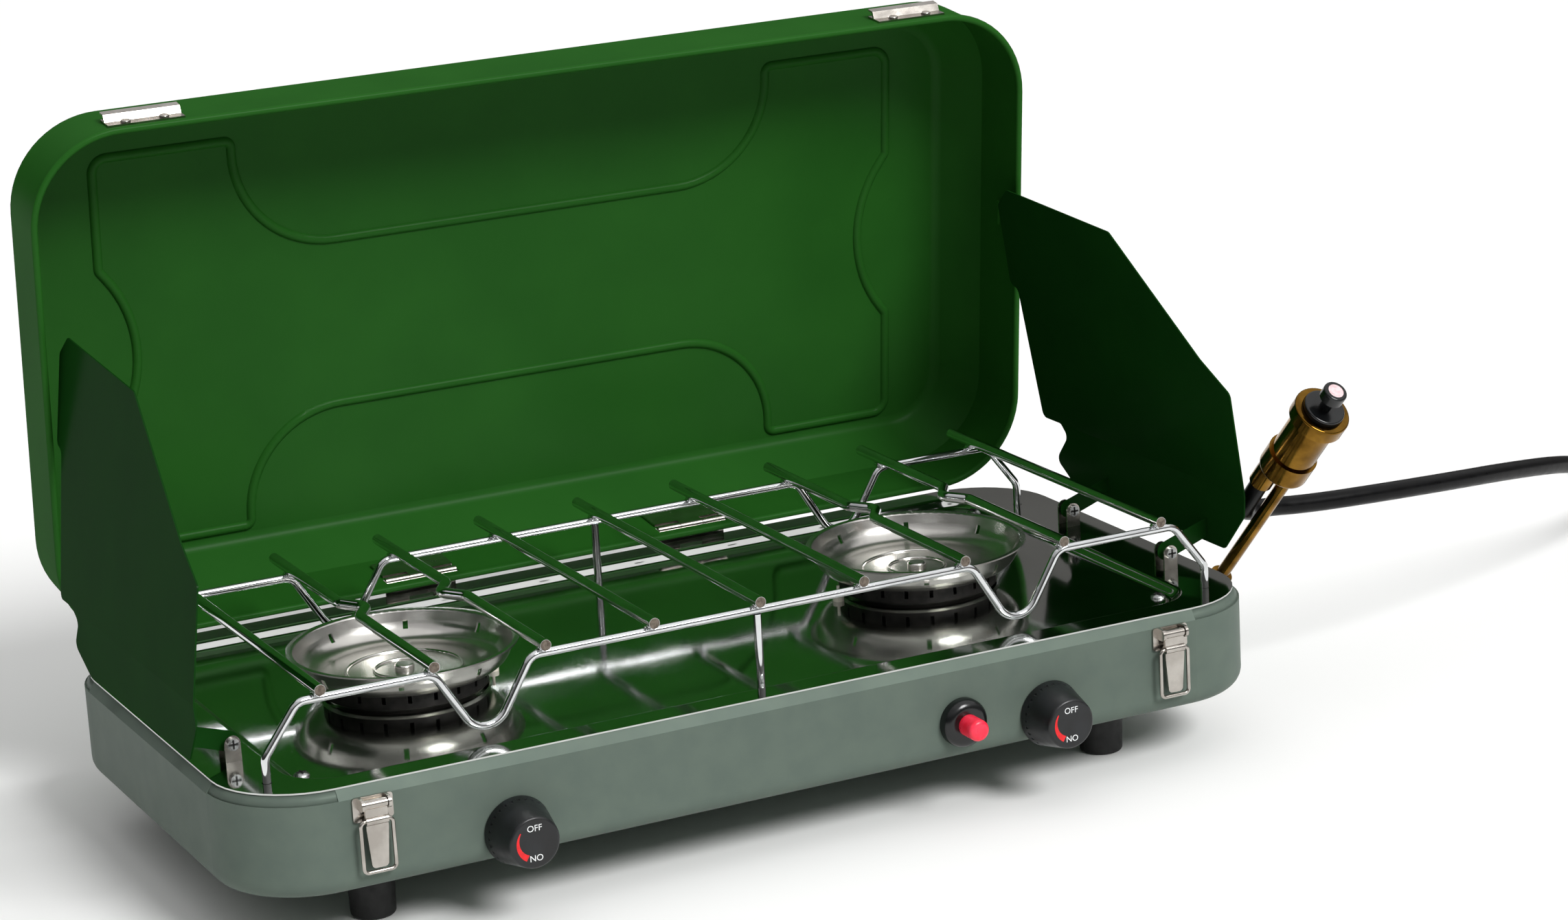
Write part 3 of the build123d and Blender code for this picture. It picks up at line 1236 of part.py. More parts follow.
with BuildPart() as hose_coil:
    with BuildLine() as coil_line:
        Line(coil_point(-COIL_R, -COIL_LEAD), coil_point(-COIL_R, 0))
        ThreePointArc(coil_point(-COIL_R, 0), coil_point(0, COIL_R), coil_point(COIL_R, 0))
        ThreePointArc(
            coil_point(COIL_R, 0),
            coil_point(COIL_R - MIDDLE_R, -MIDDLE_R),
            coil_point(-INNER_R, 0),
        )
        TangentArc(
            coil_point(-INNER_R, 0),
            coil_point(0, CLIMB_R, COIL_LAYER / 2),
            tangent=COIL_Y,
        )
        TangentArc(
            coil_point(INNER_R, 0, COIL_LAYER),
            coil_point(0, CLIMB_R, COIL_LAYER / 2),
            tangent=COIL_Y,
        )
        ThreePointArc(
            coil_point(INNER_R, 0, COIL_LAYER),
            coil_point(INNER_R - MIDDLE_R, -MIDDLE_R, COIL_LAYER),
            coil_point(-COIL_R, 0, COIL_LAYER),
        )
        ThreePointArc(
            coil_point(-COIL_R, 0, COIL_LAYER),
            coil_point(0, COIL_R, COIL_LAYER),
            coil_point(COIL_R, 0, COIL_LAYER),
        )
        Line(coil_point(COIL_R, 0, COIL_LAYER), coil_point(COIL_R, -COIL_TAIL, COIL_LAYER))
    coil_wire = coil_line.wires()[0]
    with BuildSketch(Plane(origin=coil_point(-COIL_R, -COIL_LEAD), z_dir=COIL_Y)):
        Circle(HOSE_R)
    sweep(path=coil_wire)

# Tie round the two stacked turns on the near side of the coil
TIE_SLACK = MIDDLE_R - sqrt(MIDDLE_R**2 - (COIL_STEP + TIE_W / 2) ** 2) + SEAT
TIE_INSIDE_W = 2 * (HOSE_R + TIE_SLACK)
TIE_INSIDE_H = 2 * (HOSE_R + SEAT) + COIL_LAYER
with BuildPart() as coil_tie:
    with BuildSketch(Plane(origin=coil_point(0, -MIDDLE_R, COIL_LAYER / 2), x_dir=COIL_Y, z_dir=COIL_X)):
        RectangleRounded(TIE_INSIDE_W + 2 * TIE_T, TIE_INSIDE_H + 2 * TIE_T, HOSE_R)
        RectangleRounded(TIE_INSIDE_W, TIE_INSIDE_H, HOSE_R - TIE_T, mode=Mode.SUBTRACT)
    extrude(amount=TIE_W / 2, both=True)

# Cylinder connector at the far end: ferrule, ribbed hand nut and nose
CONNECTOR = Plane(
    origin=coil_point(COIL_R, -COIL_TAIL, COIL_LAYER),
    x_dir=COIL_X,
    z_dir=COIL_Y * -1,
)
with BuildPart() as cylinder_connector:
    with BuildSketch(CONNECTOR):
        Circle(HOSE_R + RUN + FERRULE_T)
    extrude(amount=FERRULE_L)
    with BuildSketch(CONNECTOR.offset(FERRULE_L)):
        Circle(CONNECTOR_NUT_R)
        with PolarLocations(CONNECTOR_NUT_R + CONNECTOR_GRIP_OUT, CONNECTOR_GRIPS):
            Circle(CONNECTOR_GRIP_R, mode=Mode.SUBTRACT)
    extrude(amount=CONNECTOR_NUT_L)
    with BuildSketch(CONNECTOR.offset(FERRULE_L + CONNECTOR_NUT_L)):
        Circle(1.5 * HOSE_R)
    extrude(amount=FERRULE_L, taper=CONNECTOR_DRAFT)

PIECES = {
    "case": case.part,
    "cooktop": cooktop.part,
    "cooktop_posts": cooktop_posts.part,
    "cooktop_screws": cooktop_screws.part,
    "feet": feet.part,
    "foot_screws": foot_screws.part,
    "burner_cups": burner_cups.part,
    "burner_port_rings": burner_port_rings.part,
    "burner_dishes": burner_dishes.part,
    "burner_screws": burner_screws.part,
    "valve_bodies": valve_bodies.part,
    "gas_manifold": gas_manifold,
    "gas_jets": gas_jets.part,
    "mixing_tubes": mixing_tubes.part,
    "knob_left": make_knob(-1),
    "knob_right": make_knob(1),
    "valve_stem_left": make_stem(-1),
    "valve_stem_right": make_stem(1),
    "igniter_bezel": igniter_bezel.part,
    "igniter_button": igniter_button.part,
    "igniter_body": igniter_body.part,
    "electrodes": electrodes.part,
    "igniter_leads": igniter_leads,
    "grate_front_wire": grate_front_wire,
    "grate_back_wire": grate_back_wire,
    "grate_rods": grate_rods,
    "grate_mid_legs": grate_mid_legs.part,
    "leg_grommets": leg_grommets.part,
    "lid": lid.part,
    "hinge_case_leaves": hinge_case_leaves.part,
    "hinge_lid_leaves": hinge_lid_leaves.part,
    "hinge_pins": hinge_pins.part,
    "lid_strikes": lid_strikes.part,
    "strike_rivets": strike_rivets.part,
    "latch_bases": latch_bases.part,
    "latch_pins": latch_pins.part,
    "latch_lever_left": make_lever(-1),
    "latch_lever_right": make_lever(1),
    "latch_bail_left": make_bail(-1),
    "latch_bail_right": make_bail(1),
    "wing_left": make_wing(-1),
    "wing_right": make_wing(1),
    "wing_brackets": wing_brackets.part,
    "wing_pivot_screws": wing_pivot_screws.part,
    "bracket_pins": bracket_pins.part,
    "inlet_elbow": inlet_elbow.part,
    "regulator_tube": regulator_tube.part,
    "regulator_body": regulator_body.part,
    "regulator_cap": regulator_cap.part,
    "regulator_knob": regulator_knob.part,
    "hose_ferrule": hose_ferrule.part,
    "gas_hose": gas_hose.part,
    "hose_coil": hose_coil.part,
    "coil_tie": coil_tie.part,
    "cylinder_connector": cylinder_connector.part,
}

# The origin is on the table under the middle of the stove without its hose
LEFT_END = PIECES["wing_left"].bounding_box().min.X
RIGHT_END = PIECES["regulator_body"].bounding_box().max.X
FRONT_END = PIECES["regulator_knob"].bounding_box().min.Y
BACK_END = PIECES["lid"].bounding_box().max.Y
ORIGIN = Location((-(LEFT_END + RIGHT_END) / 2, -(FRONT_END + BACK_END) / 2, 0))

os.makedirs("parts", exist_ok=True)
for name, piece in PIECES.items():
    placed = piece.moved(ORIGIN)
    placed.label = name
    export_step(placed, f"parts/{name}.step")


def least_self_gap(wire, diameter):
    """Smallest clear distance between turns of a tube, measured on points of its axis."""
    count = 400
    points = [wire.position_at(i / count) for i in range(count + 1)]
    near = int(2 * diameter * count / wire.length) + 1
    gaps = [
        (points[i] - points[j]).length
        for i in range(count + 1)
        for j in range(i + near, count + 1)
    ]
    return min(gaps) - diameter


SECTION = pi * HOSE_R**2
HOSE_SHARE = gas_hose.part.volume / SECTION / hose_wire.length
COIL_SHARE = hose_coil.part.volume / SECTION / coil_wire.length
print("origin moved by", ORIGIN.position)
print("hose radii", [round(r, 1) for r in HOSE_RADII])
print("hose length", round(hose_wire.length, 1), "volume share", round(HOSE_SHARE, 4))
print("coil length", round(coil_wire.length, 1), "volume share", round(COIL_SHARE, 4))
print("least gap between coil turns", round(least_self_gap(coil_wire, 2 * HOSE_R), 2))
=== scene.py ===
from math import cos, pi, radians, sin

import bmesh
import bpy
from mathutils import Matrix, Vector


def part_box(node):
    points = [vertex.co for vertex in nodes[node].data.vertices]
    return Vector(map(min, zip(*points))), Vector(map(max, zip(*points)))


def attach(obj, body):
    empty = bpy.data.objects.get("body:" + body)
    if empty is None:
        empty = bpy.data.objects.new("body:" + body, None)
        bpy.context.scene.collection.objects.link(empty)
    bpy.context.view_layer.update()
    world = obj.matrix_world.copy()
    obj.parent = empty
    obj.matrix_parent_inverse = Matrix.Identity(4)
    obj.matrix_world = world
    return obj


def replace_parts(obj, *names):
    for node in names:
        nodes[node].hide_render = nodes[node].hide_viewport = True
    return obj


# Two-burner folding camping stove. Sizes below are millimetres from the middle of the case, as in the
# part's source: X to the right, Y to the back, Z up from the table.
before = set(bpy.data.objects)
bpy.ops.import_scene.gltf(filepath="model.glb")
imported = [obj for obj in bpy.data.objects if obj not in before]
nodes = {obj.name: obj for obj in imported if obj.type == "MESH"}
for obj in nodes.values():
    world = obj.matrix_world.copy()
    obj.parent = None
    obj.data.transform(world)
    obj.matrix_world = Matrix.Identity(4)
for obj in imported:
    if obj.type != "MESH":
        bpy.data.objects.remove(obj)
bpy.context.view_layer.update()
scene = bpy.context.scene
MM = 0.001
case_low, case_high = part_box("case")
MIDDLE = Vector(((case_low.x + case_high.x) / 2, (case_low.y + case_high.y) / 2, 0))


def at(x, y, z):
    """A place on the stove, in metres in the model's frame."""
    return MIDDLE + Vector((x, y, z)) * MM


# Sizes that a finish or a small piece is set out from
BURNER_X = 145.0
BURNER_Y = -3.0
RING_PITCH = 1.4
RING_DEPTH = 0.002
ROD_R = 2.8
ROD_COUNT = 9
PAN_HEAD_R = 4.0
PAN_HEAD_H = 2.2
WING_SCREW_X = 259.0
WING_SCREW_YS = (-74.0, 26.5)
WING_SCREW_Z = 92.0
LETTER_SIZE = 4.4
LETTER_UP = 7.2
MARK_T = 0.05
WEDGE_R = 9.6
WEDGE_TOP = 140.0           # degrees round the knob's face, from its right-hand side
WEDGE_FOOT = 238.0
WEDGE_THIN = 0.5
WEDGE_THICK = 3.2
WEDGE_STEPS = 24
REGULATOR_AXIS = Vector((0.085, -0.650, 0.755)).normalized()

# Camera at the photograph's view
EYE = (-814.31, -1839.10, 710.71)
EYE_RIGHT = Vector((0.8929, -0.4469, -0.0547))
EYE_UP = Vector((0.1643, 0.2102, 0.9638))
LENS = 94.07
camera_data = bpy.data.cameras.new("photo_camera")
camera_data.sensor_fit = "HORIZONTAL"
camera_data.sensor_width = 36
camera_data.lens = LENS
camera = bpy.data.objects.new("photo_camera", camera_data)
scene.collection.objects.link(camera)
camera.matrix_world = Matrix.Translation(at(*EYE)) @ Matrix(
    (EYE_RIGHT, EYE_UP, EYE_RIGHT.cross(EYE_UP))
).transposed().to_4x4()
scene.camera = camera


def linear(colour):
    """An sRGB hex colour as linear red, green, blue and alpha."""
    parts = [int(colour[i:i + 2], 16) / 255 for i in (1, 3, 5)]
    return [p / 12.92 if p <= 0.04045 else ((p + 0.055) / 1.055) ** 2.4 for p in parts] + [1.0]


def node(tree, kind, sockets=None, **settings):
    """Adds a node, with its settings, and with a value or a link on each socket named."""
    made = tree.nodes.new(kind)
    for name, value in settings.items():
        setattr(made, name, value)
    for name, value in (sockets or {}).items():
        if isinstance(value, bpy.types.NodeSocket):
            tree.links.new(value, made.inputs[name])
        else:
            made.inputs[name].default_value = value
    return made


def finish_of(name, **sockets):
    """Starts a material: its tree, its shader with constant values set, and the piece's own coordinates."""
    material = bpy.data.materials.new(name)
    material.use_nodes = True
    tree = material.node_tree
    shader = tree.nodes["Principled BSDF"]
    for socket, value in sockets.items():
        shader.inputs[socket.replace("_", " ")].default_value = value
    return material, tree, shader, node(tree, "ShaderNodeTexCoord").outputs["Object"]


def per(mm):
    """Noise scale whose grain is this many millimetres."""
    return 1000 / mm


def two_tone(tree, shader, where, low, high, grain, contrast=(0.35, 0.65)):
    """Colour that drifts between two tones over a grain in millimetres."""
    noise = node(tree, "ShaderNodeTexNoise", {"Vector": where, "Scale": per(grain), "Detail": 4})
    ramp = node(tree, "ShaderNodeValToRGB", {"Fac": noise.outputs["Fac"]})
    for stop, place, tone in zip(ramp.color_ramp.elements, contrast, (low, high)):
        stop.position = place
        stop.color = linear(tone)
    tree.links.new(ramp.outputs["Color"], shader.inputs["Base Color"])
    return ramp


def worn_gloss(tree, shader, where, low, high, grain):
    """Roughness that drifts between two values, as handling and wiping leave it."""
    noise = node(tree, "ShaderNodeTexNoise", {"Vector": where, "Scale": per(grain), "Detail": 5})
    spread = node(
        tree,
        "ShaderNodeMapRange",
        {"Value": noise.outputs["Fac"], "From Min": 0.3, "From Max": 0.7, "To Min": low, "To Max": high},
    )
    tree.links.new(spread.outputs["Result"], shader.inputs["Roughness"])


def relief(tree, shader, where, grain, depth, detail=2.0, strength=1.0):
    """Surface waves of this grain and depth, in millimetres."""
    noise = node(tree, "ShaderNodeTexNoise", {"Vector": where, "Scale": per(grain), "Detail": detail})
    bump = node(
        tree,
        "ShaderNodeBump",
        {"Height": noise.outputs["Fac"], "Distance": depth * MM, "Strength": strength},
    )
    tree.links.new(bump.outputs["Normal"], shader.inputs["Normal"])
    return bump


# Stoved silver-grey paint on the pressed case: fine metal flake under a satin coat with orange peel
case_paint, tree, shader, where = finish_of(
    "stoved_silver_grey_paint", Metallic=0.15, Specular_IOR_Level=0.05
)
two_tone(tree, shader, where, "#5E6A62", "#626E65", 14)
worn_gloss(tree, shader, where, 0.42, 0.52, 45)
relief(tree, shader, where, 2.6, 0.004)

# Baked green enamel inside and outside the lid: smooth, satin to glossy, with a slow orange peel
lid_enamel, tree, shader, where = finish_of(
    "baked_green_enamel", Specular_IOR_Level=0.0, Coat_Weight=0.1, Coat_Roughness=0.34
)
two_tone(tree, shader, where, "#20521A", "#23571C", 60)
worn_gloss(tree, shader, where, 0.30, 0.38, 80)
relief(tree, shader, where, 9.0, 0.015)

# The same enamel on the wings, with painted shade: its greens are set darker than the lid's to stand in for
# the shade on the wings
wing_enamel_painted_dark, tree, shader, where = finish_of(
    "green_enamel_painted_shade", Specular_IOR_Level=0.0, Coat_Weight=0.05, Coat_Roughness=0.2
)
two_tone(tree, shader, where, "#103610", "#123A11", 50)
worn_gloss(tree, shader, where, 0.16, 0.22, 60)
relief(tree, shader, where, 14.0, 0.02)

# Mirror-polished steel of the cooktop: near-perfect reflections that ripple where the sheet is drawn
pan_mirror, tree, shader, where = finish_of("mirror_polished_steel", Metallic=1.0)
two_tone(tree, shader, where, "#C2C4C1", "#CED0CD", 70)
worn_gloss(tree, shader, where, 0.05, 0.1, 35)
relief(tree, shader, where, 70, 0.2, detail=1.0)

# Bright chrome plate on the grate's wire: a hard mirror with faint drawing marks
chrome, tree, shader, where = finish_of("bright_chrome_plate", Metallic=1.0)
two_tone(tree, shader, where, "#D2D4D5", "#E2E4E5", 18)
worn_gloss(tree, shader, where, 0.06, 0.1, 40)
relief(tree, shader, where, 14, 0.002)

# Spun stainless of the burner dishes and cups: rings left by the spinning tool round each burner's axis,
# really a few to the millimetre, drawn one to every 1.4 mm so that they show
spun_steel, tree, shader, where = finish_of("spun_stainless_steel", Metallic=1.0)
two_tone(tree, shader, where, "#C4C2BD", "#D6D4CF", 30)
worn_gloss(tree, shader, where, 0.2, 0.26, 40)
place = node(tree, "ShaderNodeSeparateXYZ", {"Vector": where})
from_middle = node(
    tree, "ShaderNodeMath", {0: place.outputs["X"], 1: MIDDLE.x}, operation="SUBTRACT"
).outputs[0]
beside = node(tree, "ShaderNodeMath", {0: from_middle}, operation="ABSOLUTE").outputs[0]
from_axis = node(
    tree,
    "ShaderNodeCombineXYZ",
    {
        "X": node(tree, "ShaderNodeMath", {0: beside, 1: BURNER_X * MM}, operation="SUBTRACT").outputs[0],
        "Y": node(
            tree, "ShaderNodeMath", {0: place.outputs["Y"], 1: at(0, BURNER_Y, 0).y}, operation="SUBTRACT"
        ).outputs[0],
    },
)
rings = node(
    tree,
    "ShaderNodeTexWave",
    {"Vector": from_axis.outputs["Vector"], "Scale": per(RING_PITCH) / 20, "Distortion": 0.6, "Detail": 1},
    wave_type="RINGS",
    rings_direction="SPHERICAL",
)
grooves = node(
    tree, "ShaderNodeBump", {"Height": rings.outputs["Fac"], "Distance": RING_DEPTH * MM, "Strength": 0.2}
)
tree.links.new(grooves.outputs["Normal"], shader.inputs["Normal"])

# Cast port rings, blackened by the flame
heat_steel, tree, shader, where = finish_of("flame_blackened_iron", Metallic=0.6)
two_tone(tree, shader, where, "#1A1918", "#2C2A28", 6)
worn_gloss(tree, shader, where, 0.45, 0.65, 4)
relief(tree, shader, where, 1.2, 0.05)

# Nickel plate on latches, strikes, hinges and brackets: warm and slightly clouded
nickel, tree, shader, where = finish_of("nickel_plate", Metallic=1.0)
two_tone(tree, shader, where, "#AAA49D", "#C0BBB4", 9)
worn_gloss(tree, shader, where, 0.18, 0.28, 8)
relief(tree, shader, where, 6.0, 0.01)

# Zinc plate on screws and pins: grey with a fine crystalline cloud
zinc, tree, shader, where = finish_of("bright_zinc_plate", Metallic=1.0)
two_tone(tree, shader, where, "#A8A9A8", "#C6C8C8", 4)
worn_gloss(tree, shader, where, 0.2, 0.34, 3)
relief(tree, shader, where, 1.2, 0.01)

# Moulded black phenolic of the knobs: satin with a faint bloom
phenolic, tree, shader, where = finish_of("moulded_black_phenolic", IOR=1.5)
two_tone(tree, shader, where, "#0C0D0E", "#15171A", 9)
worn_gloss(tree, shader, where, 0.28, 0.42, 5)
relief(tree, shader, where, 0.9, 0.012)

# Glossy black moulding of the igniter's bezel and the regulator's cap
black_gloss, tree, shader, where = finish_of("glossy_black_moulding", IOR=1.5)
two_tone(tree, shader, where, "#08090A", "#101213", 12)
worn_gloss(tree, shader, where, 0.14, 0.26, 7)
relief(tree, shader, where, 1.5, 0.008)

# Red moulded button, a little translucent
red_button, tree, shader, where = finish_of("moulded_red_button", IOR=1.48, Subsurface_Weight=0.15)
shader.inputs["Subsurface Radius"].default_value = (0.004, 0.001, 0.001)
two_tone(tree, shader, where, "#F21A38", "#FF3B56", 5)
worn_gloss(tree, shader, where, 0.25, 0.38, 3)
relief(tree, shader, where, 0.8, 0.01)

# Black rubber of the feet: matt, with a grain from the mould
foot_rubber, tree, shader, where = finish_of("moulded_black_rubber", IOR=1.5)
two_tone(tree, shader, where, "#0B0B0B", "#161616", 5)
worn_gloss(tree, shader, where, 0.5, 0.68, 4)
relief(tree, shader, where, 0.8, 0.03)

# Turned brass of the valves, jets and connector
brass, tree, shader, where = finish_of("turned_brass", Metallic=1.0)
two_tone(tree, shader, where, "#B08A45", "#CDA75C", 8)
worn_gloss(tree, shader, where, 0.2, 0.34, 4)
relief(tree, shader, where, 0.9, 0.012)

# Drawn steel of the manifold and mixing tubes
drawn_steel, tree, shader, where = finish_of("drawn_steel_tube", Metallic=1.0)
two_tone(tree, shader, where, "#9A9A97", "#B5B5B1", 12)
worn_gloss(tree, shader, where, 0.28, 0.42, 6)
relief(tree, shader, where, 1.0, 0.012)

# Yellow passivated zinc of the regulator: dark gold, uneven where the bath ran off
yellow_zinc, tree, shader, where = finish_of("yellow_passivated_zinc", Metallic=1.0)
two_tone(tree, shader, where, "#634616", "#926C29", 14)
worn_gloss(tree, shader, where, 0.08, 0.16, 6)
relief(tree, shader, where, 2.0, 0.01)

# Glazed ceramic of the spark electrodes
ceramic, tree, shader, where = finish_of("glazed_ceramic", IOR=1.55)
two_tone(tree, shader, where, "#DDD6C8", "#EEE9DE", 6)
worn_gloss(tree, shader, where, 0.18, 0.3, 4)
relief(tree, shader, where, 1.2, 0.01)

# Silicone sleeve of the ignition leads
silicone, tree, shader, where = finish_of("silicone_sleeve", IOR=1.43)
two_tone(tree, shader, where, "#7A2018", "#8E2C22", 6)
worn_gloss(tree, shader, where, 0.45, 0.6, 4)
relief(tree, shader, where, 0.8, 0.02)

# Extruded black rubber of the gas hose: satin, with the faint lines of its cloth wrap
hose_rubber, tree, shader, where = finish_of("extruded_black_rubber", IOR=1.52, Specular_IOR_Level=0.15)
two_tone(tree, shader, where, "#050506", "#0B0B0C", 8)
worn_gloss(tree, shader, where, 0.26, 0.4, 5)
relief(tree, shader, where, 1.2, 0.03)

# Woven strap of the hose tie
strap, tree, shader, where = finish_of("woven_nylon_strap", IOR=1.5, Sheen_Weight=0.2)
two_tone(tree, shader, where, "#101010", "#1E1E1E", 2)
worn_gloss(tree, shader, where, 0.6, 0.75, 2)
relief(tree, shader, where, 0.9, 0.06)

# Printed marks on the knobs
white_print, tree, shader, where = finish_of("white_printing_ink", IOR=1.5)
two_tone(tree, shader, where, "#DCDEDF", "#F0F1F1", 3)
worn_gloss(tree, shader, where, 0.4, 0.5, 3)
relief(tree, shader, where, 0.5, 0.01)
red_print, tree, shader, where = finish_of("red_printing_ink", IOR=1.5)
two_tone(tree, shader, where, "#D01016", "#E8141C", 3)
worn_gloss(tree, shader, where, 0.38, 0.48, 3)
relief(tree, shader, where, 0.5, 0.01)

# Bare steel at the sheared ends of the rods: dull, with a brown bloom
sheared_steel, tree, shader, where = finish_of("sheared_bare_steel", Metallic=0.8)
two_tone(tree, shader, where, "#5E544B", "#857B70", 1.5)
worn_gloss(tree, shader, where, 0.4, 0.6, 1.5)
relief(tree, shader, where, 0.6, 0.06)

# Painted shadow: a dark finish that stands in for the shade down in the recess of a screw head
recess_shadow, tree, shader, where = finish_of("painted_recess_shadow", Metallic=0.4)
two_tone(tree, shader, where, "#151514", "#242322", 1)
worn_gloss(tree, shader, where, 0.5, 0.7, 1)
relief(tree, shader, where, 0.6, 0.05)

# Pale moulded disc in the end of the regulator's knob
disc_plastic, tree, shader, where = finish_of("pale_moulded_disc", IOR=1.48)
two_tone(tree, shader, where, "#D9B9BC", "#EAD4D6", 2)
worn_gloss(tree, shader, where, 0.35, 0.5, 2)
relief(tree, shader, where, 0.7, 0.02)

FINISHES = {
    case_paint: ["case"],
    lid_enamel: ["lid"],
    wing_enamel_painted_dark: ["wing_left", "wing_right"],
    pan_mirror: ["cooktop"],
    chrome: ["grate_front_wire", "grate_back_wire", "grate_rods", "grate_mid_legs"],
    spun_steel: ["burner_dishes", "burner_cups", "burner_screws"],
    heat_steel: ["burner_port_rings"],
    nickel: [
        "hinge_case_leaves", "hinge_lid_leaves", "hinge_pins", "lid_strikes", "strike_rivets",
        "latch_bases", "latch_pins", "latch_lever_left", "latch_lever_right",
        "latch_bail_left", "latch_bail_right", "wing_brackets", "leg_grommets",
    ],
    zinc: ["cooktop_screws", "foot_screws", "wing_pivot_screws", "bracket_pins", "cooktop_posts"],
    phenolic: ["knob_left", "knob_right", "igniter_body"],
    black_gloss: ["igniter_bezel", "regulator_cap", "regulator_knob"],
    red_button: ["igniter_button"],
    foot_rubber: ["feet"],
    brass: ["valve_bodies", "valve_stem_left", "valve_stem_right", "gas_jets", "cylinder_connector"],
    drawn_steel: ["gas_manifold", "mixing_tubes"],
    yellow_zinc: ["inlet_elbow", "regulator_tube", "regulator_body", "hose_ferrule"],
    ceramic: ["electrodes"],
    silicone: ["igniter_leads"],
    hose_rubber: ["gas_hose", "hose_coil"],
    strap: ["coil_tie"],
}
for finish, names in FINISHES.items():
    for name in names:
        nodes[name].data.materials.clear()
        nodes[name].data.materials.append(finish)

# Gas hose: out of the regulator, round behind its tube, down to the table and into its coil
HOSE_R = 5.0
ROUTE = [
    (295.30, -115.25, 142.78),
    (293.43, -100.95, 126.17),
    (294.90, -86.25, 110.58),
    (314, -76, 108),
    (342, -76, 105),
    (388, -76, 103),
    (440, -67, 98.5),
    (496, -48, 91),
    (552, -23, 80),
    (597.6, 6.8, 63),
    (635.6, 40.8, 42),
    (666, 78.4, 21.5),
    (694.85, 120.88, 6.3),
    (721.02, 156.25, 6.3),
]
COIL_MIDDLE = Vector((775.2, 128.6, 6.3))
COIL_AHEAD = Vector((0.59487, 0.80382, 0))
COIL_ACROSS = Vector((0.80382, -0.59487, 0))
COIL_RISE = 10.5
HALF_TURNS = (              # centre across, radius, and height at the start and end of each half turn
    (0, 60, 0, 0),
    (5.5, 54.5, 0, 0),
    (0, 49, 0, COIL_RISE),
    (-5.5, 54.5, COIL_RISE, COIL_RISE),
    (0, 60, COIL_RISE, COIL_RISE),
)
TURN_POINTS = 8
COIL_TAIL = 34.0


def coil_place(across, ahead, up):
    """A place in the coil, from its middle."""
    return COIL_MIDDLE + COIL_ACROSS * across + COIL_AHEAD * ahead + Vector((0, 0, up))


for half, (centre, radius, low, high) in enumerate(HALF_TURNS):
    step = pi / TURN_POINTS
    far = 1 if half % 2 == 0 else -1
    for k in range(TURN_POINTS):
        turn = (k + 0.5) * step
        reach = radius / cos(step / 2)
        ROUTE.append(
            coil_place(
                centre - far * reach * cos(turn),
                far * reach * sin(turn),
                low + (high - low) * (k + 0.5) / TURN_POINTS,
            )
        )
ROUTE.append(coil_place(HALF_TURNS[-1][1], -COIL_TAIL, HALF_TURNS[-1][3]))

hose_curve = bpy.data.curves.new("gas_line", "CURVE")
hose_curve.dimensions = "3D"
hose_curve.bevel_depth = HOSE_R * MM
hose_curve.bevel_resolution = 6
hose_curve.resolution_u = 10
hose_curve.use_fill_caps = True
spline = hose_curve.splines.new("NURBS")
spline.points.add(len(ROUTE) - 1)
for point, place in zip(spline.points, ROUTE):
    point.co = (*at(*place), 1)
spline.order_u = 3
spline.use_endpoint_u = True
hose = bpy.data.objects.new("gas_line", hose_curve)
scene.collection.objects.link(hose)
hose_curve.materials.append(hose_rubber)
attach(hose, "stove")
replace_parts(hose, "gas_hose", "hose_coil")


# Small pieces that repeat are grown by Geometry Nodes on the places where they sit
def shape_tree(name, sizes):
    """A tree that takes points, and the outputs of its input node: the points and one for each named size."""
    tree = bpy.data.node_groups.new(name, "GeometryNodeTree")
    tree.interface.new_socket("Geometry", in_out="INPUT", socket_type="NodeSocketGeometry")
    for size in sizes:
        tree.interface.new_socket(size, in_out="INPUT", socket_type="NodeSocketFloat")
    tree.interface.new_socket("Geometry", in_out="OUTPUT", socket_type="NodeSocketGeometry")
    return tree, node(tree, "NodeGroupInput").outputs


def end_tree(tree, points, shape, finish):
    """Puts the shape on each point, turned to the point's facing, as plain mesh in its finish."""
    facing = node(tree, "GeometryNodeInputNamedAttribute", {"Name": "facing"}, data_type="FLOAT_VECTOR")
    turn = node(tree, "FunctionNodeAlignRotationToVector", {"Vector": facing.outputs["Attribute"]}, axis="Z")
    spread = node(
        tree,
        "GeometryNodeInstanceOnPoints",
        {"Points": points, "Instance": shape, "Rotation": turn.outputs["Rotation"]},
    )
    solid = node(tree, "GeometryNodeRealizeInstances", {"Geometry": spread.outputs["Instances"]})
    dressed = node(
        tree, "GeometryNodeSetMaterial", {"Geometry": solid.outputs["Geometry"], "Material": finish}
    )
    node(tree, "NodeGroupOutput", {"Geometry": dressed.outputs["Geometry"]})


def dress(tree, finish):
    """Gives a copied tree another finish."""
    for part in tree.nodes:
        if part.bl_idname == "GeometryNodeSetMaterial":
            part.inputs["Material"].default_value = finish


def plain_mesh(maker):
    """The finished mesh of an object that was only needed to make it."""
    graph = bpy.context.evaluated_depsgraph_get()
    mesh = bpy.data.meshes.new_from_object(maker.evaluated_get(graph), depsgraph=graph)
    bpy.data.objects.remove(maker)
    return mesh


def piece(name, mesh, body):
    """Puts a mesh in the scene as a piece that rides on a body."""
    made = bpy.data.objects.new(name, mesh)
    scene.collection.objects.link(made)
    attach(made, body)
    return made


def grow(name, tree, sizes, places, body):
    """Runs a tree, with its sizes in millimetres, on places that each have a facing."""
    points = bpy.data.meshes.new(name + "_places")
    points.from_pydata([place for place, facing in places], [], [])
    facings = points.attributes.new("facing", "FLOAT_VECTOR", "POINT")
    for value, (place, facing) in zip(facings.data, places):
        value.vector = facing
    maker = bpy.data.objects.new(name + "_maker", points)
    scene.collection.objects.link(maker)
    modifier = maker.modifiers.new(name, "NODES")
    modifier.node_group = tree
    for socket in tree.interface.items_tree:
        if socket.in_out == "INPUT" and socket.name in sizes:
            modifier[socket.identifier] = sizes[socket.name] * MM
    return piece(name, plain_mesh(maker), body)


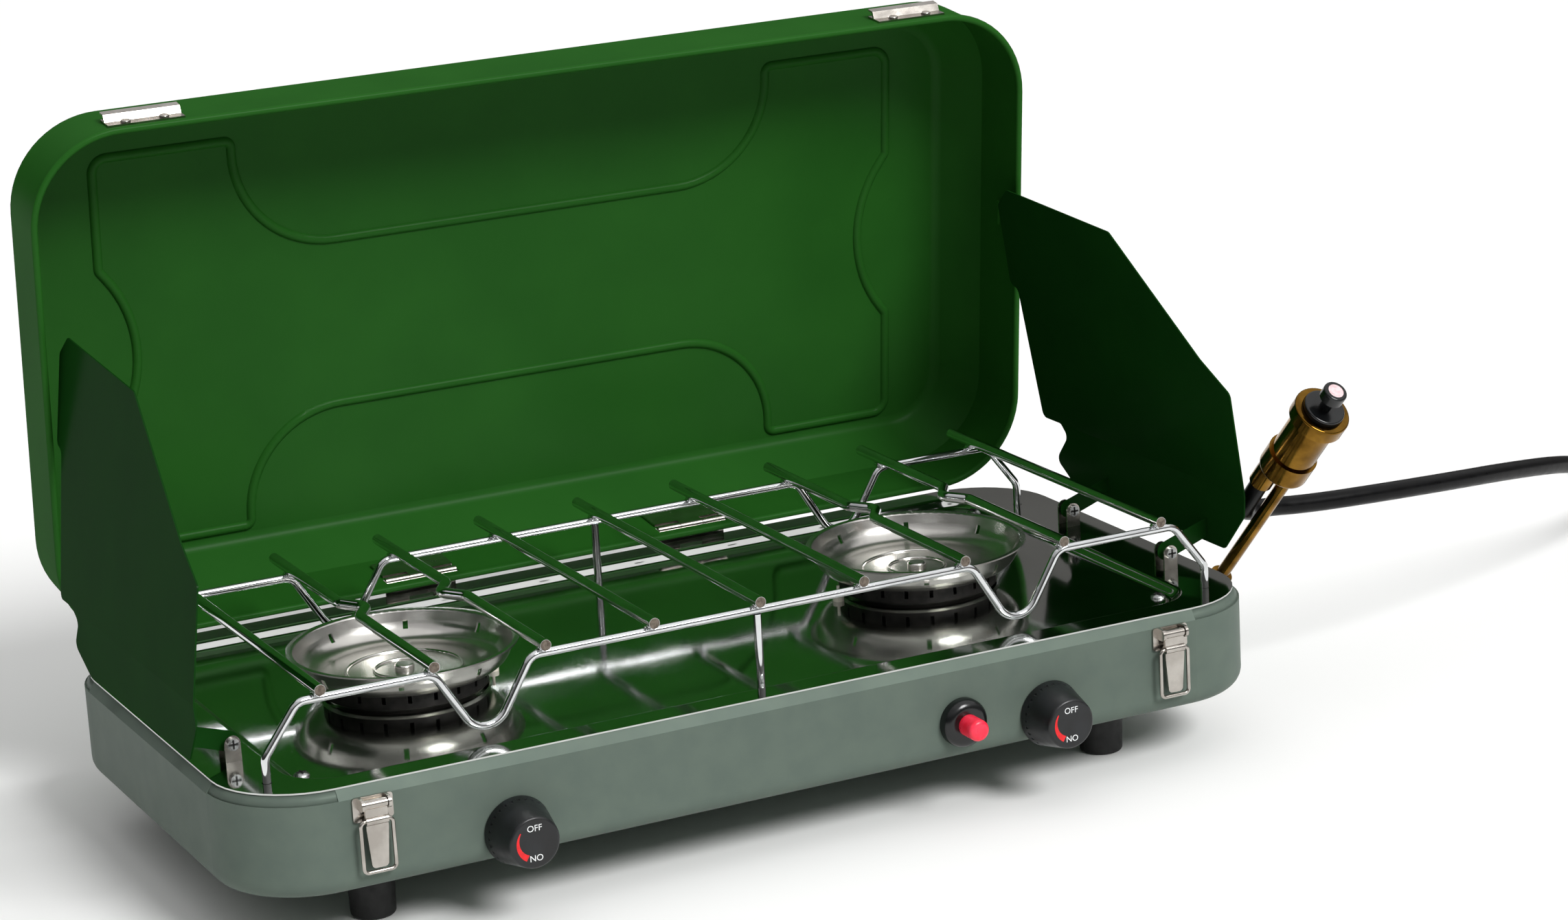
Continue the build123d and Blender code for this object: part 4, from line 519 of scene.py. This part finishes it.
# Cooktop sheet: a flat border that lies on the hem, a shallow basin pressed into it, a hole at each
# burner and leg, and a skirt; with it the sloped corners of the case, up to the sheet
SHEET_T = 0.8
SHEET_CORNER = 44.8
SKIRT_IN = 1.8
SKIRT_H = 7.0
HEM_H = 5.0                 # slope of the case from the top of its wall up to the sheet
HEM_LAP = 0.4               # how far the round corners of that slope start down inside the wall
HEM_FOOT_IN = -2.7
HEM_TOP_IN = 0.6
BASIN_DEPTH = 4.5
BASIN_IN_X = 31.0           # top of the basin's slope from the sheet's own edge
BASIN_IN_Y = 14.0
BASIN_CORNER = 24.0
BASIN_RUN = 7.0             # width of the slope
BASIN_STEPS = 8
CORNER_STEPS = 10
CUP_HOLE_R = 41.8
CUP_HOLE_STEPS = 72
WIRE_R = 2.1
LEG_HOLE_R = 2.5
LEG_HOLE_STEPS = 16
sheet_low, sheet_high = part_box("cooktop")
sheet_middle = (sheet_low + sheet_high) / 2
sheet_half = (sheet_high - sheet_low) / 2
basin_floor = sheet_high.z - BASIN_DEPTH * MM
wire_ys = [sum(corner.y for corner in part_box(wire)) / 2 for wire in ("grate_front_wire", "grate_back_wire")]


def sheet_ring(shape, in_x, in_y, corner, drop):
    """Vertices round the sheet with round corners, set in from its edge and down from its top."""
    ring = []
    for quarter, (side_x, side_y) in enumerate(((1, 1), (-1, 1), (-1, -1), (1, -1))):
        centre_x = sheet_middle.x + side_x * (sheet_half.x - (in_x + corner) * MM)
        centre_y = sheet_middle.y + side_y * (sheet_half.y - (in_y + corner) * MM)
        for k in range(CORNER_STEPS + 1):
            turn = (quarter + k / CORNER_STEPS) * pi / 2
            ring.append(
                shape.verts.new(
                    (
                        centre_x + cos(turn) * corner * MM,
                        centre_y + sin(turn) * corner * MM,
                        sheet_high.z - drop * MM,
                    )
                )
            )
    return ring


def hole_ring(shape, x, y, z, radius, steps):
    """Vertices round a hole in the sheet."""
    turns = [2 * pi * k / steps for k in range(steps)]
    return [shape.verts.new((x + cos(t) * radius * MM, y + sin(t) * radius * MM, z)) for t in turns]


def flat_web(shape, rings):
    """Fills the flat metal between a ring and the rings inside it."""
    edges = [shape.edges.new(pair) for ring in rings for pair in zip(ring, ring[1:] + ring[:1])]
    filled = bmesh.ops.triangle_fill(shape, edges=edges, use_beauty=True)["geom"]
    faces = [part for part in filled if isinstance(part, bmesh.types.BMFace)]
    shape.normal_update()
    bmesh.ops.reverse_faces(shape, faces=[face for face in faces if face.normal.z < 0])


def band(shape, first, second):
    """Joins two rings by a smooth strip that faces up or out."""
    for k in range(len(first)):
        shape.faces.new((first[k - 1], first[k], second[k], second[k - 1])).smooth = True


def pressed_sheet():
    """The sheet's upper surface and the outside of its skirt."""
    shape = bmesh.new()
    slope = []
    for k in range(BASIN_STEPS + 1):
        share = k / BASIN_STEPS
        run = BASIN_RUN * share
        drop = BASIN_DEPTH * share * share * (3 - 2 * share)
        slope.append(sheet_ring(shape, BASIN_IN_X + run, BASIN_IN_Y + run, BASIN_CORNER - run, drop))
    legs_low, legs_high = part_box("grate_front_wire")
    leg_xs = (legs_low.x + WIRE_R * MM, legs_high.x - WIRE_R * MM)
    legs = [
        hole_ring(shape, x, y, sheet_high.z, LEG_HOLE_R, LEG_HOLE_STEPS) for x in leg_xs for y in wire_ys
    ]
    flat_web(shape, [sheet_ring(shape, 0, 0, SHEET_CORNER, 0), slope[0]] + legs)
    burners = [at(side * BURNER_X, BURNER_Y, 0) for side in (-1, 1)]
    cups = [
        hole_ring(shape, burner.x, burner.y, basin_floor, CUP_HOLE_R, CUP_HOLE_STEPS) for burner in burners
    ]
    flat_web(shape, [slope[-1]] + cups)
    for outer, inner in zip(slope, slope[1:]):
        band(shape, outer, inner)
    skirt = [
        sheet_ring(shape, SKIRT_IN, SKIRT_IN, SHEET_CORNER - SKIRT_IN, drop)
        for drop in (SHEET_T + SKIRT_H, SHEET_T)
    ]
    band(shape, *skirt)
    return shape


def hem_corners():
    """The case's slope round its corners; along the walls it lies inside the hem strips."""
    shape = bmesh.new()
    depth = SHEET_T + HEM_H + HEM_LAP
    foot = sheet_ring(shape, HEM_FOOT_IN, HEM_FOOT_IN, SHEET_CORNER - HEM_FOOT_IN, depth)
    top = sheet_ring(shape, HEM_TOP_IN, HEM_TOP_IN, SHEET_CORNER - HEM_TOP_IN, SHEET_T)
    band(shape, foot, top)
    return shape


def sheet_metal(name, shape, finish):
    """A piece on the stove made of a surface, with the sheet's thickness under it."""
    mesh = bpy.data.meshes.new(name)
    shape.to_mesh(mesh)
    shape.free()
    mesh.materials.append(finish)
    maker = bpy.data.objects.new(name + "_maker", mesh)
    scene.collection.objects.link(maker)
    thickness = maker.modifiers.new("sheet", "SOLIDIFY")
    thickness.thickness = SHEET_T * MM
    thickness.offset = -1
    return piece(name, plain_mesh(maker), "stove")


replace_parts(sheet_metal("pressed_sheet", pressed_sheet(), pan_mirror), "cooktop")
sheet_metal("hem_corners", hem_corners(), case_paint)

UP = Vector((0, 0, 1))
FORWARD = Vector((0, -1, 0))
rods_low, rods_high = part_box("grate_rods")
first_rod, last_rod = rods_low.x + ROD_R * MM, rods_high.x - ROD_R * MM
rod_xs = [first_rod + (last_rod - first_rod) * i / (ROD_COUNT - 1) for i in range(ROD_COUNT)]

# Weld flash where each rod crosses a wire: a low uneven lump, wider than the wire
UNEVEN = 0.3                # share of the lump by which its surface swells or sinks
bead_sizes = {"Along Wire": 3.0, "Along Rod": 3.4, "Height": 1.6}
bead_tree, sizes = shape_tree("weld_flash", bead_sizes)
ball = node(bead_tree, "GeometryNodeMeshIcoSphere", {"Radius": 1.0, "Subdivisions": 3})
spots = node(bead_tree, "ShaderNodeTexNoise", {"Scale": 1.7, "Detail": 1})
swell = node(
    bead_tree, "ShaderNodeMapRange", {"Value": spots.outputs["Fac"], "To Min": -UNEVEN, "To Max": UNEVEN}
)
outward = node(
    bead_tree,
    "ShaderNodeVectorMath",
    {0: node(bead_tree, "GeometryNodeInputPosition").outputs["Position"], "Scale": swell.outputs["Result"]},
    operation="SCALE",
)
lump = node(
    bead_tree,
    "GeometryNodeSetPosition",
    {"Geometry": ball.outputs["Mesh"], "Offset": outward.outputs["Vector"]},
)
measure = node(
    bead_tree,
    "ShaderNodeCombineXYZ",
    {"X": sizes["Along Wire"], "Y": sizes["Along Rod"], "Z": sizes["Height"]},
)
bead = node(
    bead_tree,
    "GeometryNodeTransform",
    {"Geometry": lump.outputs["Geometry"], "Scale": measure.outputs["Vector"]},
)
end_tree(bead_tree, sizes["Geometry"], bead.outputs["Geometry"], chrome)
crossings = [(Vector((x, y, rods_low.z)), UP) for x in rod_xs for y in wire_ys]
grow("weld_flashes", bead_tree, bead_sizes, crossings, "stove")

# Sheared rod ends, where the plating is thin: a shallow dome on each end
dome_sizes = {"Radius": ROD_R - 0.1, "Bulge": 0.35}
dome_tree, sizes = shape_tree("sheared_end", dome_sizes)
ball = node(dome_tree, "GeometryNodeMeshUVSphere", {"Segments": 24, "Rings": 12, "Radius": 1.0})
measure = node(
    dome_tree, "ShaderNodeCombineXYZ", {"X": sizes["Radius"], "Y": sizes["Radius"], "Z": sizes["Bulge"]}
)
dome = node(
    dome_tree,
    "GeometryNodeTransform",
    {"Geometry": ball.outputs["Mesh"], "Scale": measure.outputs["Vector"]},
)
end_tree(dome_tree, sizes["Geometry"], dome.outputs["Geometry"], sheared_steel)
rod_height = (rods_low.z + rods_high.z) / 2
ends = [(Vector((x, rods_low.y, rod_height)), FORWARD) for x in rod_xs]
ends += [(Vector((x, rods_high.y, rod_height)), -FORWARD) for x in rod_xs]
grow("rod_ends", dome_tree, dome_sizes, ends, "stove")

# Domed screw heads on the floor of the basin
screws_low, screws_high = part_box("cooktop_screws")
head_in = Vector((PAN_HEAD_R, PAN_HEAD_R, 0)) * MM
screws_low, screws_high = screws_low + head_in, screws_high - head_in
screw_places = [
    Vector((x, y, basin_floor)) for x in (screws_low.x, screws_high.x) for y in (screws_low.y, screws_high.y)
]
head_sizes = {"Radius": PAN_HEAD_R, "Bulge": PAN_HEAD_H}
head_tree = dome_tree.copy()
dress(head_tree, zinc)
heads = [(place, UP) for place in screw_places]
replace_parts(grow("pan_screws", head_tree, head_sizes, heads, "stove"), "cooktop_screws")

# Cross recess in the head of each pan screw and wing screw: a thin dark cross, painted shadow that stands in
# for the recess
cross_sizes = {"Reach": 4.6, "Width": 0.9, "Depth": 0.3}
cross_tree, sizes = shape_tree("cross_recess_shadow", cross_sizes)
cross = node(cross_tree, "GeometryNodeJoinGeometry")
for along, across in (("Reach", "Width"), ("Width", "Reach")):
    measure = node(
        cross_tree, "ShaderNodeCombineXYZ", {"X": sizes[along], "Y": sizes[across], "Z": sizes["Depth"]}
    )
    slot_cut = node(cross_tree, "GeometryNodeMeshCube", {"Size": measure.outputs["Vector"]})
    cross_tree.links.new(slot_cut.outputs["Mesh"], cross.inputs["Geometry"])
end_tree(cross_tree, sizes["Geometry"], cross.outputs["Geometry"], recess_shadow)
heads = [(place + UP * PAN_HEAD_H * MM, UP) for place in screw_places]
heads += [(at(side * WING_SCREW_X, y, WING_SCREW_Z), FORWARD) for side in (-1, 1) for y in WING_SCREW_YS]
grow("screw_recess_shadows", cross_tree, cross_sizes, heads, "stove")


# Marks printed on the knobs, OFF at the top, ON at the bottom and a red wedge that grows toward ON
def lettering(word, height, turn):
    """A printed word, upright on the XZ plane and facing forward, at a height on the knob's face."""
    text = bpy.data.curves.new(word, "FONT")
    text.body = word
    text.align_x = text.align_y = "CENTER"
    text.size = LETTER_SIZE * MM
    text.extrude = MARK_T * MM
    text.materials.append(white_print)
    maker = bpy.data.objects.new(word, text)
    scene.collection.objects.link(maker)
    mesh = plain_mesh(maker)
    upright = Matrix.Rotation(pi / 2, 4, "X") @ Matrix.Rotation(turn, 4, "Z")
    mesh.transform(Matrix.Translation((0, 0, height * MM)) @ upright)
    return mesh


def flow_wedge():
    """A crescent that widens from its top to its foot, on the XZ plane and facing forward."""
    shape = bmesh.new()
    rows = []
    for i in range(WEDGE_STEPS + 1):
        share = i / WEDGE_STEPS
        angle = radians(WEDGE_TOP + (WEDGE_FOOT - WEDGE_TOP) * share)
        width = WEDGE_THIN + (WEDGE_THICK - WEDGE_THIN) * share
        rows.append(
            [
                shape.verts.new((cos(angle) * radius * MM, -MARK_T * MM, sin(angle) * radius * MM))
                for radius in (WEDGE_R, WEDGE_R - width)
            ]
        )
    for (outer, inner), (next_outer, next_inner) in zip(rows, rows[1:]):
        shape.faces.new((outer, next_outer, next_inner, inner))
    grown = bmesh.ops.extrude_face_region(shape, geom=shape.faces[:])
    moved = [part for part in grown["geom"] if isinstance(part, bmesh.types.BMVert)]
    bmesh.ops.translate(shape, verts=moved, vec=(0, 2 * MARK_T * MM, 0))
    bmesh.ops.recalc_face_normals(shape, faces=shape.faces[:])
    mesh = bpy.data.meshes.new("flow_wedge")
    shape.to_mesh(mesh)
    shape.free()
    mesh.materials.append(red_print)
    return mesh


for knob in ("knob_left", "knob_right"):
    knob_low, knob_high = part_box(knob)
    face = Vector(((knob_low.x + knob_high.x) / 2, knob_low.y, (knob_low.z + knob_high.z) / 2))
    marks = {
        "off": (lettering("OFF", LETTER_UP, 0), "ceramic"),
        "on": (lettering("ON", -LETTER_UP, pi), "ceramic"),
        "wedge": (flow_wedge(), "button_red"),
    }
    for mark, (mesh, slot) in marks.items():
        mesh.transform(Matrix.Translation(face))
        piece(f"{knob}_{mark}", mesh, knob)

# Plain disc let into the end of the regulator's knob
END_FLAT = 0.05             # how far from the knob's very end a point still counts as on its end face
end_points = [vertex.co for vertex in nodes["regulator_knob"].data.vertices]
reach = max(point.dot(REGULATOR_AXIS) for point in end_points)
rim = [point for point in end_points if reach - point.dot(REGULATOR_AXIS) < END_FLAT * MM]
disc_sizes = {"Radius": 4.2, "Bulge": 0.25}
disc_tree = dome_tree.copy()
dress(disc_tree, disc_plastic)
disc_place = [(sum(rim, Vector()) / len(rim), REGULATOR_AXIS)]
grow("regulator_disc", disc_tree, disc_sizes, disc_place, "stove")


# Light, in metres and watts: a soft key light from the front right and a weak, broad one overhead
def lamp(name, kind, place, aim, power):
    """A lamp at a place, turned to an aim."""
    lamp_data = bpy.data.lights.new(name, kind)
    lamp_data.energy = power
    made = bpy.data.objects.new(name, lamp_data)
    scene.collection.objects.link(made)
    made.location = place
    made.rotation_euler = (Vector(aim) - Vector(place)).to_track_quat("-Z", "Y").to_euler()
    return lamp_data


LAMP_AIM = (0, 0, 0.1)
KEY_PLACE = (0.6, -2.0, 1.9)
KEY_STRENGTH = 2.4
KEY_SPREAD = 22.0           # degrees of the sky that the key light fills
OVERHEAD_PLACE = (0.1, -0.3, 2.3)
OVERHEAD_POWER = 4
OVERHEAD_SIZE = (2.4, 2.0)
key = lamp("key_light", "SUN", KEY_PLACE, LAMP_AIM, KEY_STRENGTH)
key.angle = radians(KEY_SPREAD)
overhead = lamp("overhead_light", "AREA", OVERHEAD_PLACE, LAMP_AIM, OVERHEAD_POWER)
overhead.shape = "RECTANGLE"
overhead.size, overhead.size_y = OVERHEAD_SIZE

# World: a studio dome, bright overhead, dark toward the horizon and dimmer on the left, so that metal and
# enamel have something to mirror
DOME = ((0.0, "#1C1A18"), (0.3, "#666563"), (0.6, "#EDEDED"))
DOME_LEFT = 0.42
DOME_RIGHT = 1.22
world = bpy.data.worlds.new("studio_dome")
scene.world = world
world.use_nodes = True
tree = world.node_tree
sky = node(tree, "ShaderNodeTexCoord").outputs["Generated"]
facing = node(tree, "ShaderNodeSeparateXYZ", {"Vector": sky}).outputs
dome = node(tree, "ShaderNodeValToRGB", {"Fac": facing["Z"]})
stops = dome.color_ramp.elements
stops.new(DOME[1][0])
for stop, (place, tone) in zip(stops, DOME):
    stop.position = place
    stop.color = linear(tone)
level = node(
    tree,
    "ShaderNodeMapRange",
    {"Value": facing["X"], "From Min": -1.0, "From Max": 1.0, "To Min": DOME_LEFT, "To Max": DOME_RIGHT},
)
light = tree.nodes["Background"]
tree.links.new(dome.outputs["Color"], light.inputs["Color"])
tree.links.new(level.outputs["Result"], light.inputs["Strength"])

# Floor: pale and matt, so that it shows near white and keeps the stove's shadow
FLOOR_HALF = 40.0
floor_material, tree, shader, where = finish_of("pale_studio_floor", Roughness=0.9, Specular_IOR_Level=0.1)
shader.inputs["Base Color"].default_value = linear("#FBFBFA")
floor_mesh = bpy.data.meshes.new("floor")
corners = [(x * FLOOR_HALF, y * FLOOR_HALF, 0) for x, y in ((-1, -1), (1, -1), (1, 1), (-1, 1))]
floor_mesh.from_pydata(corners, [], [(0, 1, 2, 3)])
floor = bpy.data.objects.new("floor", floor_mesh)
scene.collection.objects.link(floor)
floor_mesh.materials.append(floor_material)

scene.view_settings.view_transform = "Standard"
